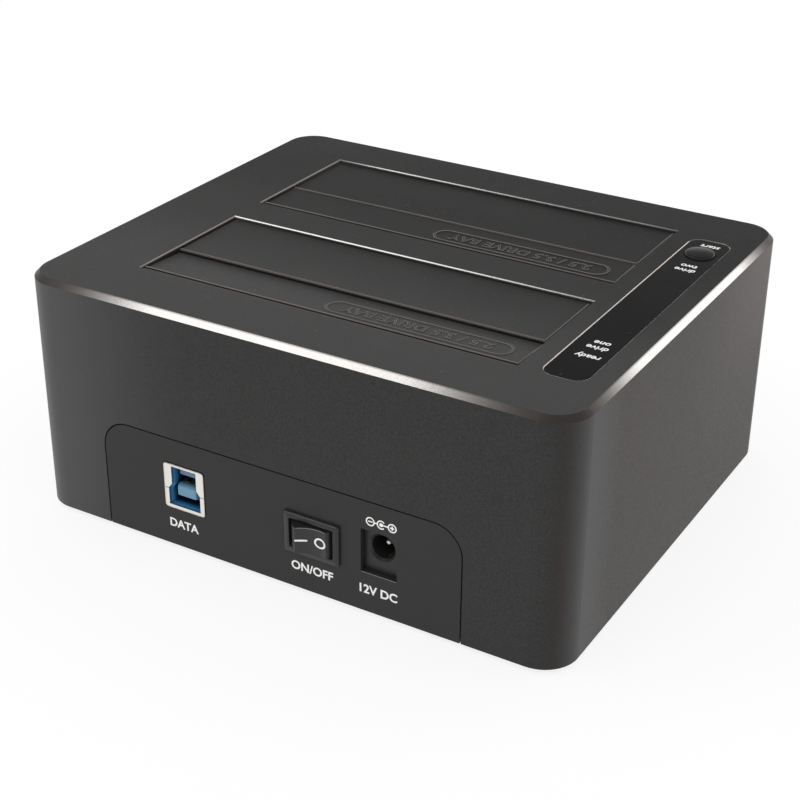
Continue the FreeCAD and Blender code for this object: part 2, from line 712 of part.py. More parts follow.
# Indicator strip
def make_strip():
    top = height - 0.1
    lens = rounded(strip_x, strip_y, strip_width - 2 * lens_gap, strip_length - 2 * lens_gap,
                   height - strip_plate, top, strip_radius - lens_gap)
    lens = lens.fuse(rounded(strip_x, strip_y, strip_width - 2 * ledge - 2 * lens_gap,
                             strip_length - 2 * ledge - 2 * lens_gap, lens_under, height - strip_plate,
                             strip_radius - ledge - lens_gap))
    bore = post(strip_x, button_y, lens_under - 1, height + 1, button_radius + button_gap)
    save("indicator_lens", lens.cut(bore).removeSplitter())
    make_button()
    under = upper_board_top - upper_board
    half_x = strip_width / 2 - upper_board_side
    half_y = strip_length / 2 - upper_board_end
    plate = block(strip_x - half_x, strip_x + half_x, strip_y - half_y, strip_y + half_y,
                  under, upper_board_top)
    hole_radius = upper_screw_radius + hole_gap
    holes = [prism(strip_x, strip_y + y, under - 1, upper_board_top + 1, hole_radius, shank_sides)
             for y in upper_posts]
    save("indicator_board", plate.cut(holes))
    screws = []
    for y in upper_posts:
        shank = prism(strip_x, strip_y + y, under, upper_board_top + 3.5, upper_screw_radius, shank_sides)
        head = prism(strip_x, strip_y + y, under - 1.0, under, 2 * upper_screw_radius, screw_sides)
        screws.append(shank.fuse(head))
    save("strip_screws", screws)
    leds = []
    for n in range(led_count):
        y = strip_y + led_offset + (n - (led_count - 1) / 2) * led_pitch
        body = block(strip_x - 0.8, strip_x + 0.8, y - 1.6, y + 1.6, upper_board_top, upper_board_top + 0.5)
        dome = block(strip_x - 0.7, strip_x + 0.7, y - 1.0, y + 1.0, upper_board_top + 0.5,
                     upper_board_top + 1.3)
        leds.append(body.fuse(dome))
    save("indicator_leds", leds)


def make_button():
    crown = height + button_proud
    collar_low = lens_under - button_collar
    cap = post(strip_x, button_y, collar_low, crown - button_dome, button_radius)
    shoulder = Vector(strip_x, button_y, crown - button_dome)
    cap = cap.fuse(Part.makeCone(button_radius, button_radius * dome_share, button_dome, shoulder))
    reach = button_radius + button_flare
    ears = block(strip_x - reach, strip_x + reach, button_y - button_ear / 2, button_y + button_ear / 2,
                 collar_low - collar_gap, lens_under - lens_gap)
    tact_top = upper_board_top + tact_height
    stem = boss(strip_x, button_y, tact_top + plunger_rise, collar_low, stem_radius)
    save("copy_button", fused([cap, ears, stem]))
    plunger_low = tact_top - plunger_seat
    save("tact_plunger", boss(strip_x, button_y, plunger_low, tact_top + plunger_rise, plunger_radius))
    half = tact_width / 2
    can = block(strip_x - half, strip_x + half, button_y - half, button_y + half, upper_board_top, tact_top)
    can = can.makeChamfer(0.5, [e for e in can.Edges if runs(e, 2)])
    well = plunger_low - button_travel - plunger_seat
    save("tact_switch", can.cut(boss(strip_x, button_y, well, tact_top + 1, plunger_radius + hole_gap)))


# Main board
def make_boards():
    plate = block(-board_x, board_x, board_front, board_rear, board_top - board, board_top)
    plate = plate.makeChamfer(2.0, [e for e in plate.Edges if runs(e, 2)])
    holes = [prism(x, y, board_top - board - 1, board_top + 1, screw_radius + hole_gap, shank_sides)
             for x, y in standoff_places()]
    plate = plate.cut(holes)
    save("main_board", plate)
    save("board_screws", [screw(x, y, board_top, short_screw, -1) for x, y in standoff_places()])
    save("bridge_chip", chip(board_x - chip_in, bay_middle, chip_size, chip_height))
    chip_places = (power_chip_in[0] - board_x, board_x - power_chip_in[1])
    save("power_chips", [chip(x, bay_middle, power_chip_size, power_chip_height) for x in chip_places])
    can_y = board_rear - can_in
    cans = [post(x, can_y, board_top, board_top + can_height, can_radius)
            for x in (jack_x - can_to_jack, port_x + can_to_port)]
    save("capacitors", cans)
    coils = []
    for x in coil_x:
        coil = block(x - coil_size / 2, x + coil_size / 2, board_rear - coil_in - coil_size,
                     board_rear - coil_in, board_top, board_top + coil_height)
        coils.append(coil.makeChamfer(coil_corner, [e for e in coil.Edges if runs(e, 2)]))
    save("inductors", coils)


def chip(x, y, size, thick):
    """Flat package with gull-wing leads along two sides."""
    body = block(x - size / 2, x + size / 2, y - size / 2, y + size / 2, board_top, board_top + thick)
    leads = []
    count = int(size / lead_pitch)
    for n in range(count):
        lead_y = y + (n - (count - 1) / 2) * lead_pitch
        for side in (-1, 1):
            x0 = x + side * (size / 2)
            x1 = x + side * (size / 2 + lead_reach)
            leads.append(block(min(x0, x1), max(x0, x1), lead_y - lead_width / 2, lead_y + lead_width / 2,
                               board_top, board_top + lead_height))
    return body.fuse(leads)


def make_ribbon():
    """Flat cable between the strip's board and the main board, a header at each end."""
    half = header_width / 2
    under = upper_board_top - upper_board
    low_x = header_thick / 2 + 1.0 - board_x
    headers = []
    for x, z0, z1 in ((low_x, board_top, board_top + low_header), (strip_x, under - high_header, under)):
        headers.append(block(x - header_thick / 2, x + header_thick / 2, strip_y - half, strip_y + half,
                             z0, z1))
    save("ribbon_headers", headers)
    x0 = strip_x - ribbon / 2
    x1 = low_x - ribbon / 2
    z0 = board_top + low_header
    z1 = under - high_header
    bend = ribbon_turn + abs(x1 - x0) / 3
    profile = [Vector(x0, 0, z1), Vector(x0, 0, bend), Vector(x1, 0, ribbon_turn), Vector(x1, 0, z0),
               Vector(x1 + ribbon, 0, z0), Vector(x1 + ribbon, 0, ribbon_turn + ribbon * 0.75),
               Vector(x0 + ribbon, 0, bend + ribbon * 0.75), Vector(x0 + ribbon, 0, z1)]
    cable = extruded(profile, Vector(0, ribbon_width, 0))
    save("ribbon_cable", cable.translated(Vector(0, strip_y - ribbon_width / 2, 0)))


# Drive sockets
def make_drive_sockets():
    for name, y in bay_y.items():
        row = y + socket_offset
        top = board_top + socket_height
        bottom = board_top + socket_floor
        body = block(socket_x - socket_length / 2, socket_x + socket_length / 2, row - socket_depth / 2,
                     row + socket_depth / 2, board_top, top)
        body = body.makeChamfer(0.5, [e for e in body.Edges if runs(e, 0) and e.BoundBox.ZMin > top - 0.1])
        for side in (-1, 1):
            x0 = socket_x + side * (socket_length / 2)
            x1 = x0 + side * 0.8
            body = body.fuse(block(min(x0, x1), max(x0, x1), row - 1.8, row + 1.8, board_top,
                                   board_top + 4.0))
        left = socket_x - (data_slot + power_slot + slot_wall) / 2
        middle = left + power_slot + slot_wall
        slots = [(left, left + power_slot), (middle, middle + data_slot)]
        contacts = []
        for x0, x1 in slots:
            body = body.cut(block(x0, x1, row - socket_slot / 2, row + socket_slot / 2, bottom, top + 1))
            body = body.cut(block(x1 - 1.2, x1, row - socket_slot / 2 - 1.2, row, bottom, top + 1))
            count = int((x1 - x0 - 1.6) / contact_pitch)
            for n in range(count):
                x = (x0 + x1) / 2 + (n - (count - 1) / 2) * contact_pitch
                contacts.append(block(x - 0.25, x + 0.25, row + socket_slot / 2 - 0.35,
                                      row + socket_slot / 2, bottom, top - 1.2))
        save("drive_socket_" + name, body.removeSplitter())
        save("socket_contacts_" + name, contacts)


# Data port
def make_data_port():
    face = rear + port_proud
    back = face - port_depth

    def bar(outline, y0, y1):
        return outline.extrude(Vector(0, y1 - y0, 0)).translated(Vector(0, y0, 0))

    shell = bar(port_outline(0), back, face).cut(bar(port_outline(-port_sheet), back + port_sheet, face + 1))
    front_lips = bar(port_outline(-port_sheet / 2), face - port_sheet, face)
    front_lips = front_lips.cut(bar(port_opening(0), face - 1, face + 1))
    save("data_port_shell", shell.fuse(front_lips).removeSplitter())
    liner = bar(port_outline(-port_sheet - 0.02), back + port_sheet, face - port_liner_in)
    liner = liner.cut(bar(port_opening(-port_liner), back + port_sheet + 3, face))
    middle = port_z + tongue_rise
    half = tongue_width / 2
    tongue = block(port_x - half, port_x + half, back + 2, face - tongue_in, middle - tongue_height / 2,
                   middle + tongue_height / 2)
    end = [e for e in tongue.Edges if e.BoundBox.YMin > face - tongue_in - 1e-6]
    tongue = tongue.makeChamfer(tongue_bevel, end)
    shelf_low = middle + tongue_height / 2 + shelf_rise
    shelf_solid = block(port_x - half + shelf_in, port_x + half - shelf_in, back + 2,
                        face - tongue_in - shelf_in, shelf_low, shelf_low + shelf)
    save("data_port_insert", fused([liner, tongue, shelf_solid]))
    contacts = []
    for x in (port_x - 1.25, port_x + 1.25):
        for side in (-1, 1):
            z = middle + side * tongue_height / 2
            contacts.append(block(x - 0.5, x + 0.5, face - 11.0, face - tongue_in - 0.8,
                                  min(z, z + side * 0.2), max(z, z + side * 0.2)))
    for n in range(5):
        x = port_x + (n - 2) * 0.9
        contacts.append(block(x - 0.2, x + 0.2, face - 10.0, face - tongue_in - 1.2, shelf_low - 0.2,
                              shelf_low))
    save("data_port_contacts", contacts)


# Power jack
def make_power_jack():
    y1 = jack_face
    body = block(jack_x - jack_width / 2, jack_x + jack_width / 2, y1 - jack_depth, y1, board_top,
                 board_top + jack_height)
    body = body.makeChamfer(0.8, [e for e in body.Edges if runs(e, 1) and e.BoundBox.ZMin > board_top + 1])
    z = board_top + jack_hole_z
    deep = y1 - jack_depth + jack_back
    body = body.cut(along_y(jack_x, deep, y1 + 1, z, jack_hole))
    cone = Part.makeCone(jack_hole, jack_hole + jack_mouth, jack_mouth, Vector(jack_x, y1 - jack_mouth, z),
                         Vector(0, 1, 0))
    save("power_jack_body", body.cut(cone).removeSplitter())
    save("power_jack_pin", along_y(jack_x, deep, y1 - jack_pin_in, z, jack_pin))
    leaf_low = z - jack_hole + leaf_gap
    leaf = block(jack_x - leaf_width / 2, jack_x + leaf_width / 2, deep, y1 - leaf_in, leaf_low,
                 leaf_low + jack_leaf)
    save("power_jack_leaf", leaf)


# Power switch
def make_switch():
    half_x = bezel_width / 2
    half_z = bezel_height / 2
    z0 = switch_z
    y1 = rear + bezel_proud
    bezel = block(switch_x - half_x, switch_x + half_x, rear, y1, z0 - half_z, z0 + half_z)
    rim = [e for e in bezel.Edges if e.BoundBox.YMin > y1 - 1e-6 or runs(e, 1)]
    bezel = bezel.makeChamfer(bezel_bevel, rim)
    body = block(switch_x - half_x + bezel_over, switch_x + half_x - bezel_over, rear - switch_depth, rear,
                 z0 - half_z + bezel_over, z0 + half_z - bezel_over)
    cap_x = half_x - bezel_frame
    cap_z = half_z - bezel_frame
    well = block(switch_x - cap_x, switch_x + cap_x, rear - switch_well, y1 + 1, z0 - cap_z, z0 + cap_z)
    bore_end = cap_z + axle_end + axle_end_gap
    trunnions = post(switch_x, rocker_y, z0 - bore_end, z0 + bore_end, axle_radius + pin_gap)
    save("switch_body", bezel.fuse(body).cut([well, trunnions]).removeSplitter())
    low = z0 - cap_z + rocker_gap
    high = z0 + cap_z - rocker_gap
    valley = rocker_y + rocker_crest
    heel = rocker_reach - rocker_heel
    cap = block(switch_x - heel, switch_x + heel, rocker_y - rocker_back, rocker_y, low, high)
    drum = post(switch_x, rocker_y, low, high, rocker_reach)
    outward = rocker_y + 2 * rocker_reach
    drum = drum.common(block(switch_x - rocker_reach, switch_x + rocker_reach, rocker_y, outward, low, high))
    dish = (rocker_end ** 2 + rocker_rise ** 2) / (2 * rocker_rise)
    cap = cap.fuse(drum).cut(post(switch_x, valley + dish, low - 1, high + 1, dish))
    axle = post(switch_x, rocker_y, z0 - cap_z - axle_end, z0 + cap_z + axle_end, axle_radius)
    rocker = cap.fuse(axle).removeSplitter()
    rocker.rotate(Vector(switch_x, rocker_y, 0), Vector(0, 0, 1), rocker_angle)
    save("switch_rocker", rocker)
    terminals = []
    for n in (-1, 0, 1):
        x = switch_x + n * 4.0
        y = rear - switch_depth
        back = block(x - 0.6, x + 0.6, y - 2.4, y, z0 - 0.4, z0)
        down = block(x - 0.6, x + 0.6, y - 2.4, y - 2.0, board_top, z0)
        terminals.append(back.fuse(down))
    save("switch_terminals", terminals)


def make_base_parts():
    save("base_tray", make_base_tray())
    feet = []
    for x, y in corners(foot_x, foot_y):
        feet.append(post(x, y, 0, base_z + foot_seat, foot_radius - 0.1))
    save("rubber_feet", feet)
    seat = base_z + head_seat
    screws = [cross_head_screw(x, y, seat, screw_length) for x, y in corners(post_x, post_y)]
    save("base_screws", screws)


save("top_housing", make_top_housing())
make_base_parts()
make_bays()
make_strip()
make_boards()
make_ribbon()
make_drive_sockets()
make_data_port()
make_power_jack()
make_switch()
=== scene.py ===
import bpy, bmesh, math
from mathutils import Matrix, Vector


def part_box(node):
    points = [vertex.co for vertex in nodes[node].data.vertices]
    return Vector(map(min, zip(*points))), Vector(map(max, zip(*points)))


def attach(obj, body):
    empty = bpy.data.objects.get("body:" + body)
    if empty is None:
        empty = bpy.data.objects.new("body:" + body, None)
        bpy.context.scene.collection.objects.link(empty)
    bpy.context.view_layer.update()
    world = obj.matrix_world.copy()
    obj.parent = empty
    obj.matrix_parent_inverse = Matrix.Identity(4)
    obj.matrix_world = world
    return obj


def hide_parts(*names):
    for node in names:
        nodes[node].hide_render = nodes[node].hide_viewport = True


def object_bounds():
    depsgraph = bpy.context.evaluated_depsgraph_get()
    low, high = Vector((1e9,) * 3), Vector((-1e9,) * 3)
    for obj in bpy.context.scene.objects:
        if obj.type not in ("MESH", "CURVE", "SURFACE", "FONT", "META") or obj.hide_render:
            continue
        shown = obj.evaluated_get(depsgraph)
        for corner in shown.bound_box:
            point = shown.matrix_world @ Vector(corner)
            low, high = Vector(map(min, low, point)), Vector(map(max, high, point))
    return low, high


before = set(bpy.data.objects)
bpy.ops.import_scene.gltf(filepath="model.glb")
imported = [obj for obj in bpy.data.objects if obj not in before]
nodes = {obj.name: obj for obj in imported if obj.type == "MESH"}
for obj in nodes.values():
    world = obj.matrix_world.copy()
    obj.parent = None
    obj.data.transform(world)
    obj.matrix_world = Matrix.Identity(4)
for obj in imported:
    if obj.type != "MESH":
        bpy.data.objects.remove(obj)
cadLow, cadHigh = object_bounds()
mm = 0.001
housingLow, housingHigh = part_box("top_housing")
middleY = (housingLow.y + housingHigh.y) / 2       # sizes below are measured from the housing's own middle
rearY = housingHigh.y
roofZ = housingHigh.z
print("frame loaded:", len(nodes), "nodes")


# node helpers

def setInput(tree, socket, value):
    if isinstance(value, bpy.types.NodeSocket):
        tree.links.new(value, socket)
    else:
        socket.default_value = value


def addNode(tree, kind, inputs=None, **settings):
    node = tree.nodes.new("ShaderNode" + kind)
    for key, value in settings.items():
        setattr(node, key, value)
    for key, value in (inputs or {}).items():
        setInput(tree, node.inputs[key], value)
    return node


def maths(tree, operation, a, b=0.0, clamp=False):
    return addNode(tree, "Math", {0: a, 1: b}, operation=operation, use_clamp=clamp).outputs[0]


def plus(tree, a, b):
    return maths(tree, "ADD", a, b)


def minus(tree, a, b):
    return maths(tree, "SUBTRACT", a, b)


def times(tree, a, b, clamp=False):
    return maths(tree, "MULTIPLY", a, b, clamp)


def coords(tree, kind="Object"):
    return addNode(tree, "TexCoord").outputs[kind]


def split(tree, vector):
    return addNode(tree, "SeparateXYZ", {0: vector}).outputs


def scaleColour(tree, colour, factor):
    return addNode(tree, "VectorMath", {0: colour, 3: factor}, operation="SCALE").outputs[0]


def mixColours(tree, factor, a, b, blend="MIX"):
    node = addNode(tree, "Mix", data_type="RGBA", blend_type=blend)
    for key, value in ((0, factor), (6, a), (7, b)):
        setInput(tree, node.inputs[key], value)
    return node.outputs[2]


def remap(tree, value, low, high, to0=0.0, to1=1.0):
    node = addNode(tree, "MapRange", {0: value, 1: low, 2: high, 3: to0, 4: to1})
    node.interpolation_type = "SMOOTHSTEP"
    return node.outputs[0]


def noise(tree, point, scale, detail=2.0, rough=0.5):
    inputs = {"Vector": point, "Scale": scale, "Detail": detail, "Roughness": rough}
    return addNode(tree, "TexNoise", inputs).outputs[0]


def newGroup(name, inputs, outputs):
    group = bpy.data.node_groups.new(name, "ShaderNodeTree")
    for label, kind, value in inputs:
        socket = group.interface.new_socket(name=label, in_out="INPUT", socket_type="NodeSocket" + kind)
        socket.default_value = value
    for label, kind in outputs:
        group.interface.new_socket(name=label, in_out="OUTPUT", socket_type="NodeSocket" + kind)
    enter = group.nodes.new("NodeGroupInput")
    leave = group.nodes.new("NodeGroupOutput")
    return group, enter.outputs, leave.inputs


# effects that several materials share

blackPlastic = (0.03, 0.03, 0.03, 1)

grainLook = {
    "broadScale": 0.05,                   # size of the larger unevenness, as a share of the grain's scale
    "broadShare": 0.15,
    "heightShares": (0.8, 0.2),
    "strength": 4.0,
}

dustLook = {
    "colour": (0.30, 0.28, 0.26, 1),
    "upward": (0.3, 1.0),
    "patchScale": 60.0,
    "patches": (0.35, 0.75, 0.2, 0.5),
    "speckScale": 900.0,
    "specks": (0.735, 0.77, 0.0, 4.0),
}

# painted sheen and painted shade on upward faces, by distance from the sockets
sheenLook = {
    "pale": (0.064, 0.0625, 0.062, 1),
    "deep": 0.55,                         # what is left of the colour far from the sockets
    "upward": (0.6, 0.95),
    "nearY": (-0.004, 0.042),
    "farY": (0.002, -0.034),
}

metalLook = {
    "streakShare": 0.7,
    "stainScale": 140.0,
    "roughness": (0.2, 0.8, 0.75, 1.3),
}


def makeMouldGrain():
    # spark-eroded mould texture: fine pits, a little larger unevenness, and a colour that drifts with them
    g, enter, leave = newGroup(
        "mouldGrain",
        [("Color", "Color", blackPlastic), ("Grain", "Float", 3000.0), ("Mottle", "Float", 0.12)],
        [("Color", "Color"), ("Height", "Float"), ("Value", "Float")])
    point = coords(g)
    fine = noise(g, point, enter["Grain"], 3.0, 0.6)
    broad = noise(g, point, times(g, enter["Grain"], grainLook["broadScale"]), 2.0)
    fineShare, broadShare = grainLook["heightShares"]
    g.links.new(plus(g, times(g, fine, fineShare), times(g, broad, broadShare)), leave["Height"])
    spread = plus(g, minus(g, fine, 0.5), times(g, minus(g, broad, 0.5), grainLook["broadShare"]))
    tint = plus(g, 1.0, times(g, spread, times(g, enter["Mottle"], grainLook["strength"])))
    g.links.new(scaleColour(g, enter["Color"], tint), leave["Color"])
    g.links.new(fine, leave["Value"])
    return g


def makeDustVeil():
    # pale dust that settles on upward faces, in soft patches with a few specks
    g, enter, leave = newGroup(
        "dustVeil",
        [("Color", "Color", blackPlastic), ("Dust", "Color", dustLook["colour"]), ("Amount", "Float", 0.05)],
        [("Color", "Color"), ("Mask", "Float")])
    up = split(g, coords(g, "Normal"))[2]
    point = coords(g)
    patches = remap(g, noise(g, point, dustLook["patchScale"], 4.0, 0.6), *dustLook["patches"])
    specks = remap(g, noise(g, point, dustLook["speckScale"], 1.0), *dustLook["specks"])
    settled = times(g, maths(g, "MAXIMUM", patches, specks), enter["Amount"])
    mask = times(g, remap(g, up, *dustLook["upward"]), settled, True)
    g.links.new(mask, leave["Mask"])
    g.links.new(mixColours(g, mask, enter["Color"], enter["Dust"]), leave["Color"])
    return g


def makeRoofSheen():
    # painted sheen: upward faces paler toward the socket side, and painted shade darker away from it
    g, enter, leave = newGroup(
        "roofSheen",
        [("Color", "Color", blackPlastic), ("Pale", "Color", sheenLook["pale"]),
         ("Deep", "Float", sheenLook["deep"])],
        [("Color", "Color")])
    up = remap(g, split(g, coords(g, "Normal"))[2], *sheenLook["upward"])
    y = split(g, coords(g))[1]
    near = remap(g, y, *sheenLook["nearY"])
    far = remap(g, y, *sheenLook["farY"], 1.0, enter["Deep"])
    sheenedColour = mixColours(g, near, scaleColour(g, enter["Color"], far), enter["Pale"])
    g.links.new(mixColours(g, up, enter["Color"], sheenedColour), leave["Color"])
    return g


def makeSlopeMask():
    # picks out faces that lean between two steepnesses, such as a bevelled rim
    g, enter, leave = newGroup(
        "slopeMask", [("Low", "Float", 0.5), ("High", "Float", 0.9)], [("Mask", "Float")])
    up = split(g, coords(g, "Normal"))[2]
    above = maths(g, "GREATER_THAN", up, enter["Low"])
    below = maths(g, "LESS_THAN", up, enter["High"])
    g.links.new(times(g, above, below), leave["Mask"])
    return g


def makeSatinMetal():
    # rolled or turned metal: fine streaks along one direction and slow changes of tone
    g, enter, leave = newGroup(
        "satinMetal",
        [("Color", "Color", (0.6, 0.6, 0.6, 1)), ("Stretch", "Vector", (1.0, 1.0, 8.0)),
         ("Scale", "Float", 900.0), ("Variation", "Float", 0.15), ("Roughness", "Float", 0.3)],
        [("Color", "Color"), ("Roughness", "Float"), ("Height", "Float")])
    point = coords(g)
    drawn = addNode(g, "VectorMath", {0: point, 1: enter["Stretch"]}, operation="MULTIPLY").outputs[0]
    streaks = noise(g, drawn, enter["Scale"], 3.0, 0.6)
    stains = noise(g, point, metalLook["stainScale"], 3.0)
    tone = plus(g, times(g, minus(g, streaks, 0.5), metalLook["streakShare"]), minus(g, stains, 0.5))
    tone = plus(g, 1.0, times(g, tone, enter["Variation"]))
    g.links.new(scaleColour(g, enter["Color"], tone), leave["Color"])
    rough = times(g, enter["Roughness"], remap(g, streaks, *metalLook["roughness"]))
    g.links.new(rough, leave["Roughness"])
    g.links.new(streaks, leave["Height"])
    return g


mouldGrain = makeMouldGrain()
dustVeil = makeDustVeil()
roofSheen = makeRoofSheen()
slopeMask = makeSlopeMask()
satinMetal = makeSatinMetal()


# materials

def newMaterial(name, **sockets):
    material = bpy.data.materials.new(name)
    material.use_nodes = True
    tree = material.node_tree
    shader = tree.nodes["Principled BSDF"]
    for label, value in sockets.items():
        shader.inputs[label.replace("_", " ")].default_value = value
    return material, tree, shader


def useGroup(tree, group, **inputs):
    node = addNode(tree, "Group", node_tree=group)
    for label, value in inputs.items():
        setInput(tree, node.inputs[label], value)
    return node.outputs


def addBump(tree, shader, height, strength, depth):
    bump = addNode(tree, "Bump", {"Height": height, "Strength": strength, "Distance": depth * mm})
    tree.links.new(bump.outputs[0], shader.inputs["Normal"])


def setColour(tree, shader, colour):
    tree.links.new(colour, shader.inputs["Base Color"])


def setRoughness(tree, shader, surface, low, high, span=(0.25, 0.75)):
    tree.links.new(remap(tree, surface["Value"], *span, low, high), shader.inputs["Roughness"])


def grainedPlastic(name, colour, rough=0.45, grain=3000.0, mottle=0.1, bump=0.25, dust=0.04, spec=0.5, glow=0.0):
    material, tree, shader = newMaterial(
        name, Specular_IOR_Level=spec, Emission_Color=(*colour, 1), Emission_Strength=glow)
    surface = useGroup(tree, mouldGrain, Color=(*colour, 1), Grain=grain, Mottle=mottle)
    dusted = useGroup(tree, dustVeil, Color=surface["Color"], Amount=dust)
    setColour(tree, shader, dusted["Color"])
    setRoughness(tree, shader, surface, rough * 0.88, rough * 1.12)
    addBump(tree, shader, surface["Height"], bump, 0.03)
    return material


def glintPaint(name, colour, rough=0.35):
    # painted highlights: thin light lines that stand for glints along edges
    return grainedPlastic(name, colour, rough, grain=1500.0, mottle=0.05, bump=0.05, dust=0.0)


def plainMetal(name, colour, rough=0.3, scale=900.0, stretch=(1.0, 1.0, 8.0), variation=0.15):
    material, tree, shader = newMaterial(name, Metallic=1.0)
    surface = useGroup(tree, satinMetal, Color=(*colour, 1), Scale=scale, Stretch=stretch, Variation=variation,
                       Roughness=rough)
    setColour(tree, shader, surface["Color"])
    tree.links.new(surface["Roughness"], shader.inputs["Roughness"])
    addBump(tree, shader, surface["Height"], 0.1, 0.01)
    return material


housingFinish = {
    "plastic": (0.036, 0.0355, 0.035),
    "roughness": 0.42,
    "specular": 0.2,
    "grain": 1900.0,
    "mottle": 0.34,
    "bump": 0.22,
    "dust": 0.05,
    # rims cut bright; painted shade darkens the cut toward the corners and along the roof's outer edge, where its
    # glint fades
    "rim": (0.80, 0.77, 0.75),
    "rimShade": (0.15, 0.132, 0.125),
    "rimFade": (0.42, 0.88),
    "rimRoughness": (0.20, 0.5),
    "rimSlope": (0.5, 0.9),
    "rimTop": (0.0656, 0.0660),
    "rimTopShare": 0.7,
    "half": (0.076, 0.064),
    "slotArea": (0.060, 0.056),
    "slotLine": 0.06576,                  # only the top of a slot's bevel is bright
    # the wall beside the strip: a warm painted tint of that one side, painted sheen paler toward the far top
    # corner, and a painted highlight along one bend
    "wallFacing": (0.3, 0.9),
    "paintedSideTone": (0.031, 0.023, 0.0200),
    "farSheen": (0.125, 0.108, 0.101),
    "farY": (0.0, -0.075),
    "farZ": (0.012, 0.075),
    "bendHighlight": (0.058, 0.058, 0.058),
    "bendHighlightIn": (0.034, 0.052),
    "bendHighlightOut": (0.0615, 0.0555),
    "sideToneMottle": (0.72, 0.56),
    # painted sheen: the socket side paler toward its +X end
    "rearFacing": (0.6, 0.95),
    "endSheen": (0.120, 0.120, 0.120),
    "endX": (0.022, 0.095),
}


def makeHousingPlastic():
    # grained black moulding whose bevelled rims are cut bright
    f = housingFinish
    material, tree, shader = newMaterial("housingPlastic", Specular_IOR_Level=f["specular"])
    surface = useGroup(tree, mouldGrain, Color=(*f["plastic"], 1), Grain=f["grain"], Mottle=f["mottle"])
    facing = split(tree, coords(tree, "Normal"))
    x, y, z = split(tree, coords(tree))

    # painted tint, sheen and highlight of the wall beside the strip
    farSheenMask = times(tree, remap(tree, y, *f["farY"]), remap(tree, z, *f["farZ"]))
    paintedSideTone = mixColours(tree, farSheenMask, (*f["paintedSideTone"], 1), (*f["farSheen"], 1))
    bend = times(tree, remap(tree, y, *f["bendHighlightIn"]), remap(tree, y, *f["bendHighlightOut"]))
    paintedSideTone = mixColours(tree, bend, paintedSideTone, (*f["bendHighlight"], 1))
    least, span = f["sideToneMottle"]
    paintedSideTone = mixColours(tree, 1.0, paintedSideTone, plus(tree, least, times(tree, surface["Value"], span)), "MULTIPLY")
    wall = remap(tree, times(tree, facing[0], -1.0), *f["wallFacing"])
    toned = mixColours(tree, wall, surface["Color"], paintedSideTone)
    # painted sheen toward the socket side's +X end
    end = times(tree, remap(tree, facing[1], *f["rearFacing"]), remap(tree, x, *f["endX"]))
    toned = mixColours(tree, end, toned, (*f["endSheen"], 1))
    # painted sheen and shade on the upward faces
    withSheen = useGroup(tree, roofSheen, Color=toned)
    dusted = useGroup(tree, dustVeil, Color=withSheen["Color"], Amount=f["dust"])

    sideX = maths(tree, "ABSOLUTE", x)
    sideY = maths(tree, "ABSOLUTE", minus(tree, y, middleY))
    halfX, halfY = f["half"]
    along = maths(tree, "MINIMUM", maths(tree, "DIVIDE", sideX, halfX), maths(tree, "DIVIDE", sideY, halfY))
    slotX, slotY = f["slotArea"]
    inner = times(tree, maths(tree, "LESS_THAN", sideX, slotX), maths(tree, "LESS_THAN", sideY, slotY))
    hidden = times(tree, inner, maths(tree, "LESS_THAN", z, f["slotLine"]))
    low, high = f["rimSlope"]
    cut = useGroup(tree, slopeMask, Low=low, High=high)["Mask"]
    cut = times(tree, cut, minus(tree, 1.0, hidden))
    uncut = minus(tree, 1.0, cut)

    # painted shade on the cut rims, toward the corners and the roof's outer edge
    tone = mixColours(tree, remap(tree, along, *f["rimFade"]), (*f["rim"], 1), (*f["rimShade"], 1))
    outside = times(tree, remap(tree, z, *f["rimTop"]), minus(tree, 1.0, inner))
    tone = mixColours(tree, times(tree, outside, f["rimTopShare"]), tone, (*f["rimShade"], 1))
    metal = useGroup(tree, satinMetal, Color=tone, Scale=4000.0, Stretch=(1.0, 1.0, 1.0), Variation=0.02,
                     Roughness=remap(tree, along, *f["rimFade"], *f["rimRoughness"]))

    setColour(tree, shader, mixColours(tree, cut, dusted["Color"], metal["Color"]))
    tree.links.new(cut, shader.inputs["Metallic"])
    rough = remap(tree, surface["Value"], 0.25, 0.75, f["roughness"] * 0.85, f["roughness"] * 1.15)
    blended = plus(tree, times(tree, rough, uncut), times(tree, metal["Roughness"], cut))
    tree.links.new(blended, shader.inputs["Roughness"])
    addBump(tree, shader, times(tree, surface["Height"], uncut), f["bump"], 0.03)
    return material


flapFinish = {
    "plastic": (0.021, 0.0205, 0.020),
    "roughness": (0.37, 0.47),
    "specular": 0.32,
    "grain": 1900.0,
    "mottle": 0.36,
    "bump": 0.26,
    "dust": 0.06,
    # pale and deep: painted sheen toward the socket side and painted shade away from it; edge: the painted glint's
    # colour
    "pale": (0.054, 0.0525, 0.052),
    "deep": 0.4,
    "edge": (0.21, 0.178, 0.162),
    "glintSlope": (0.3, 0.93),
    "glintFacing": (-0.2, 0.6, 0.3, 0.9),
}


def makeFlapPlastic():
    # the same moulding, with a painted warm glint on its edges, strongest where they face the socket side
    f = flapFinish
    material, tree, shader = newMaterial("flapPlastic", Specular_IOR_Level=f["specular"])
    surface = useGroup(tree, mouldGrain, Color=(*f["plastic"], 1), Grain=f["grain"], Mottle=f["mottle"])
    # painted sheen and shade on the upward faces
    withSheen = useGroup(tree, roofSheen, Color=surface["Color"], Pale=(*f["pale"], 1), Deep=f["deep"])
    dusted = useGroup(tree, dustVeil, Color=withSheen["Color"], Amount=f["dust"])
    facing = split(tree, coords(tree, "Normal"))
    # painted glint on the edges
    low, high = f["glintSlope"]
    edge = useGroup(tree, slopeMask, Low=low, High=high)["Mask"]
    edge = times(tree, edge, remap(tree, facing[1], *f["glintFacing"]))
    setColour(tree, shader, mixColours(tree, edge, dusted["Color"], (*f["edge"], 1)))
    setRoughness(tree, shader, surface, *f["roughness"])
    addBump(tree, shader, surface["Height"], f["bump"], 0.03)
    return material


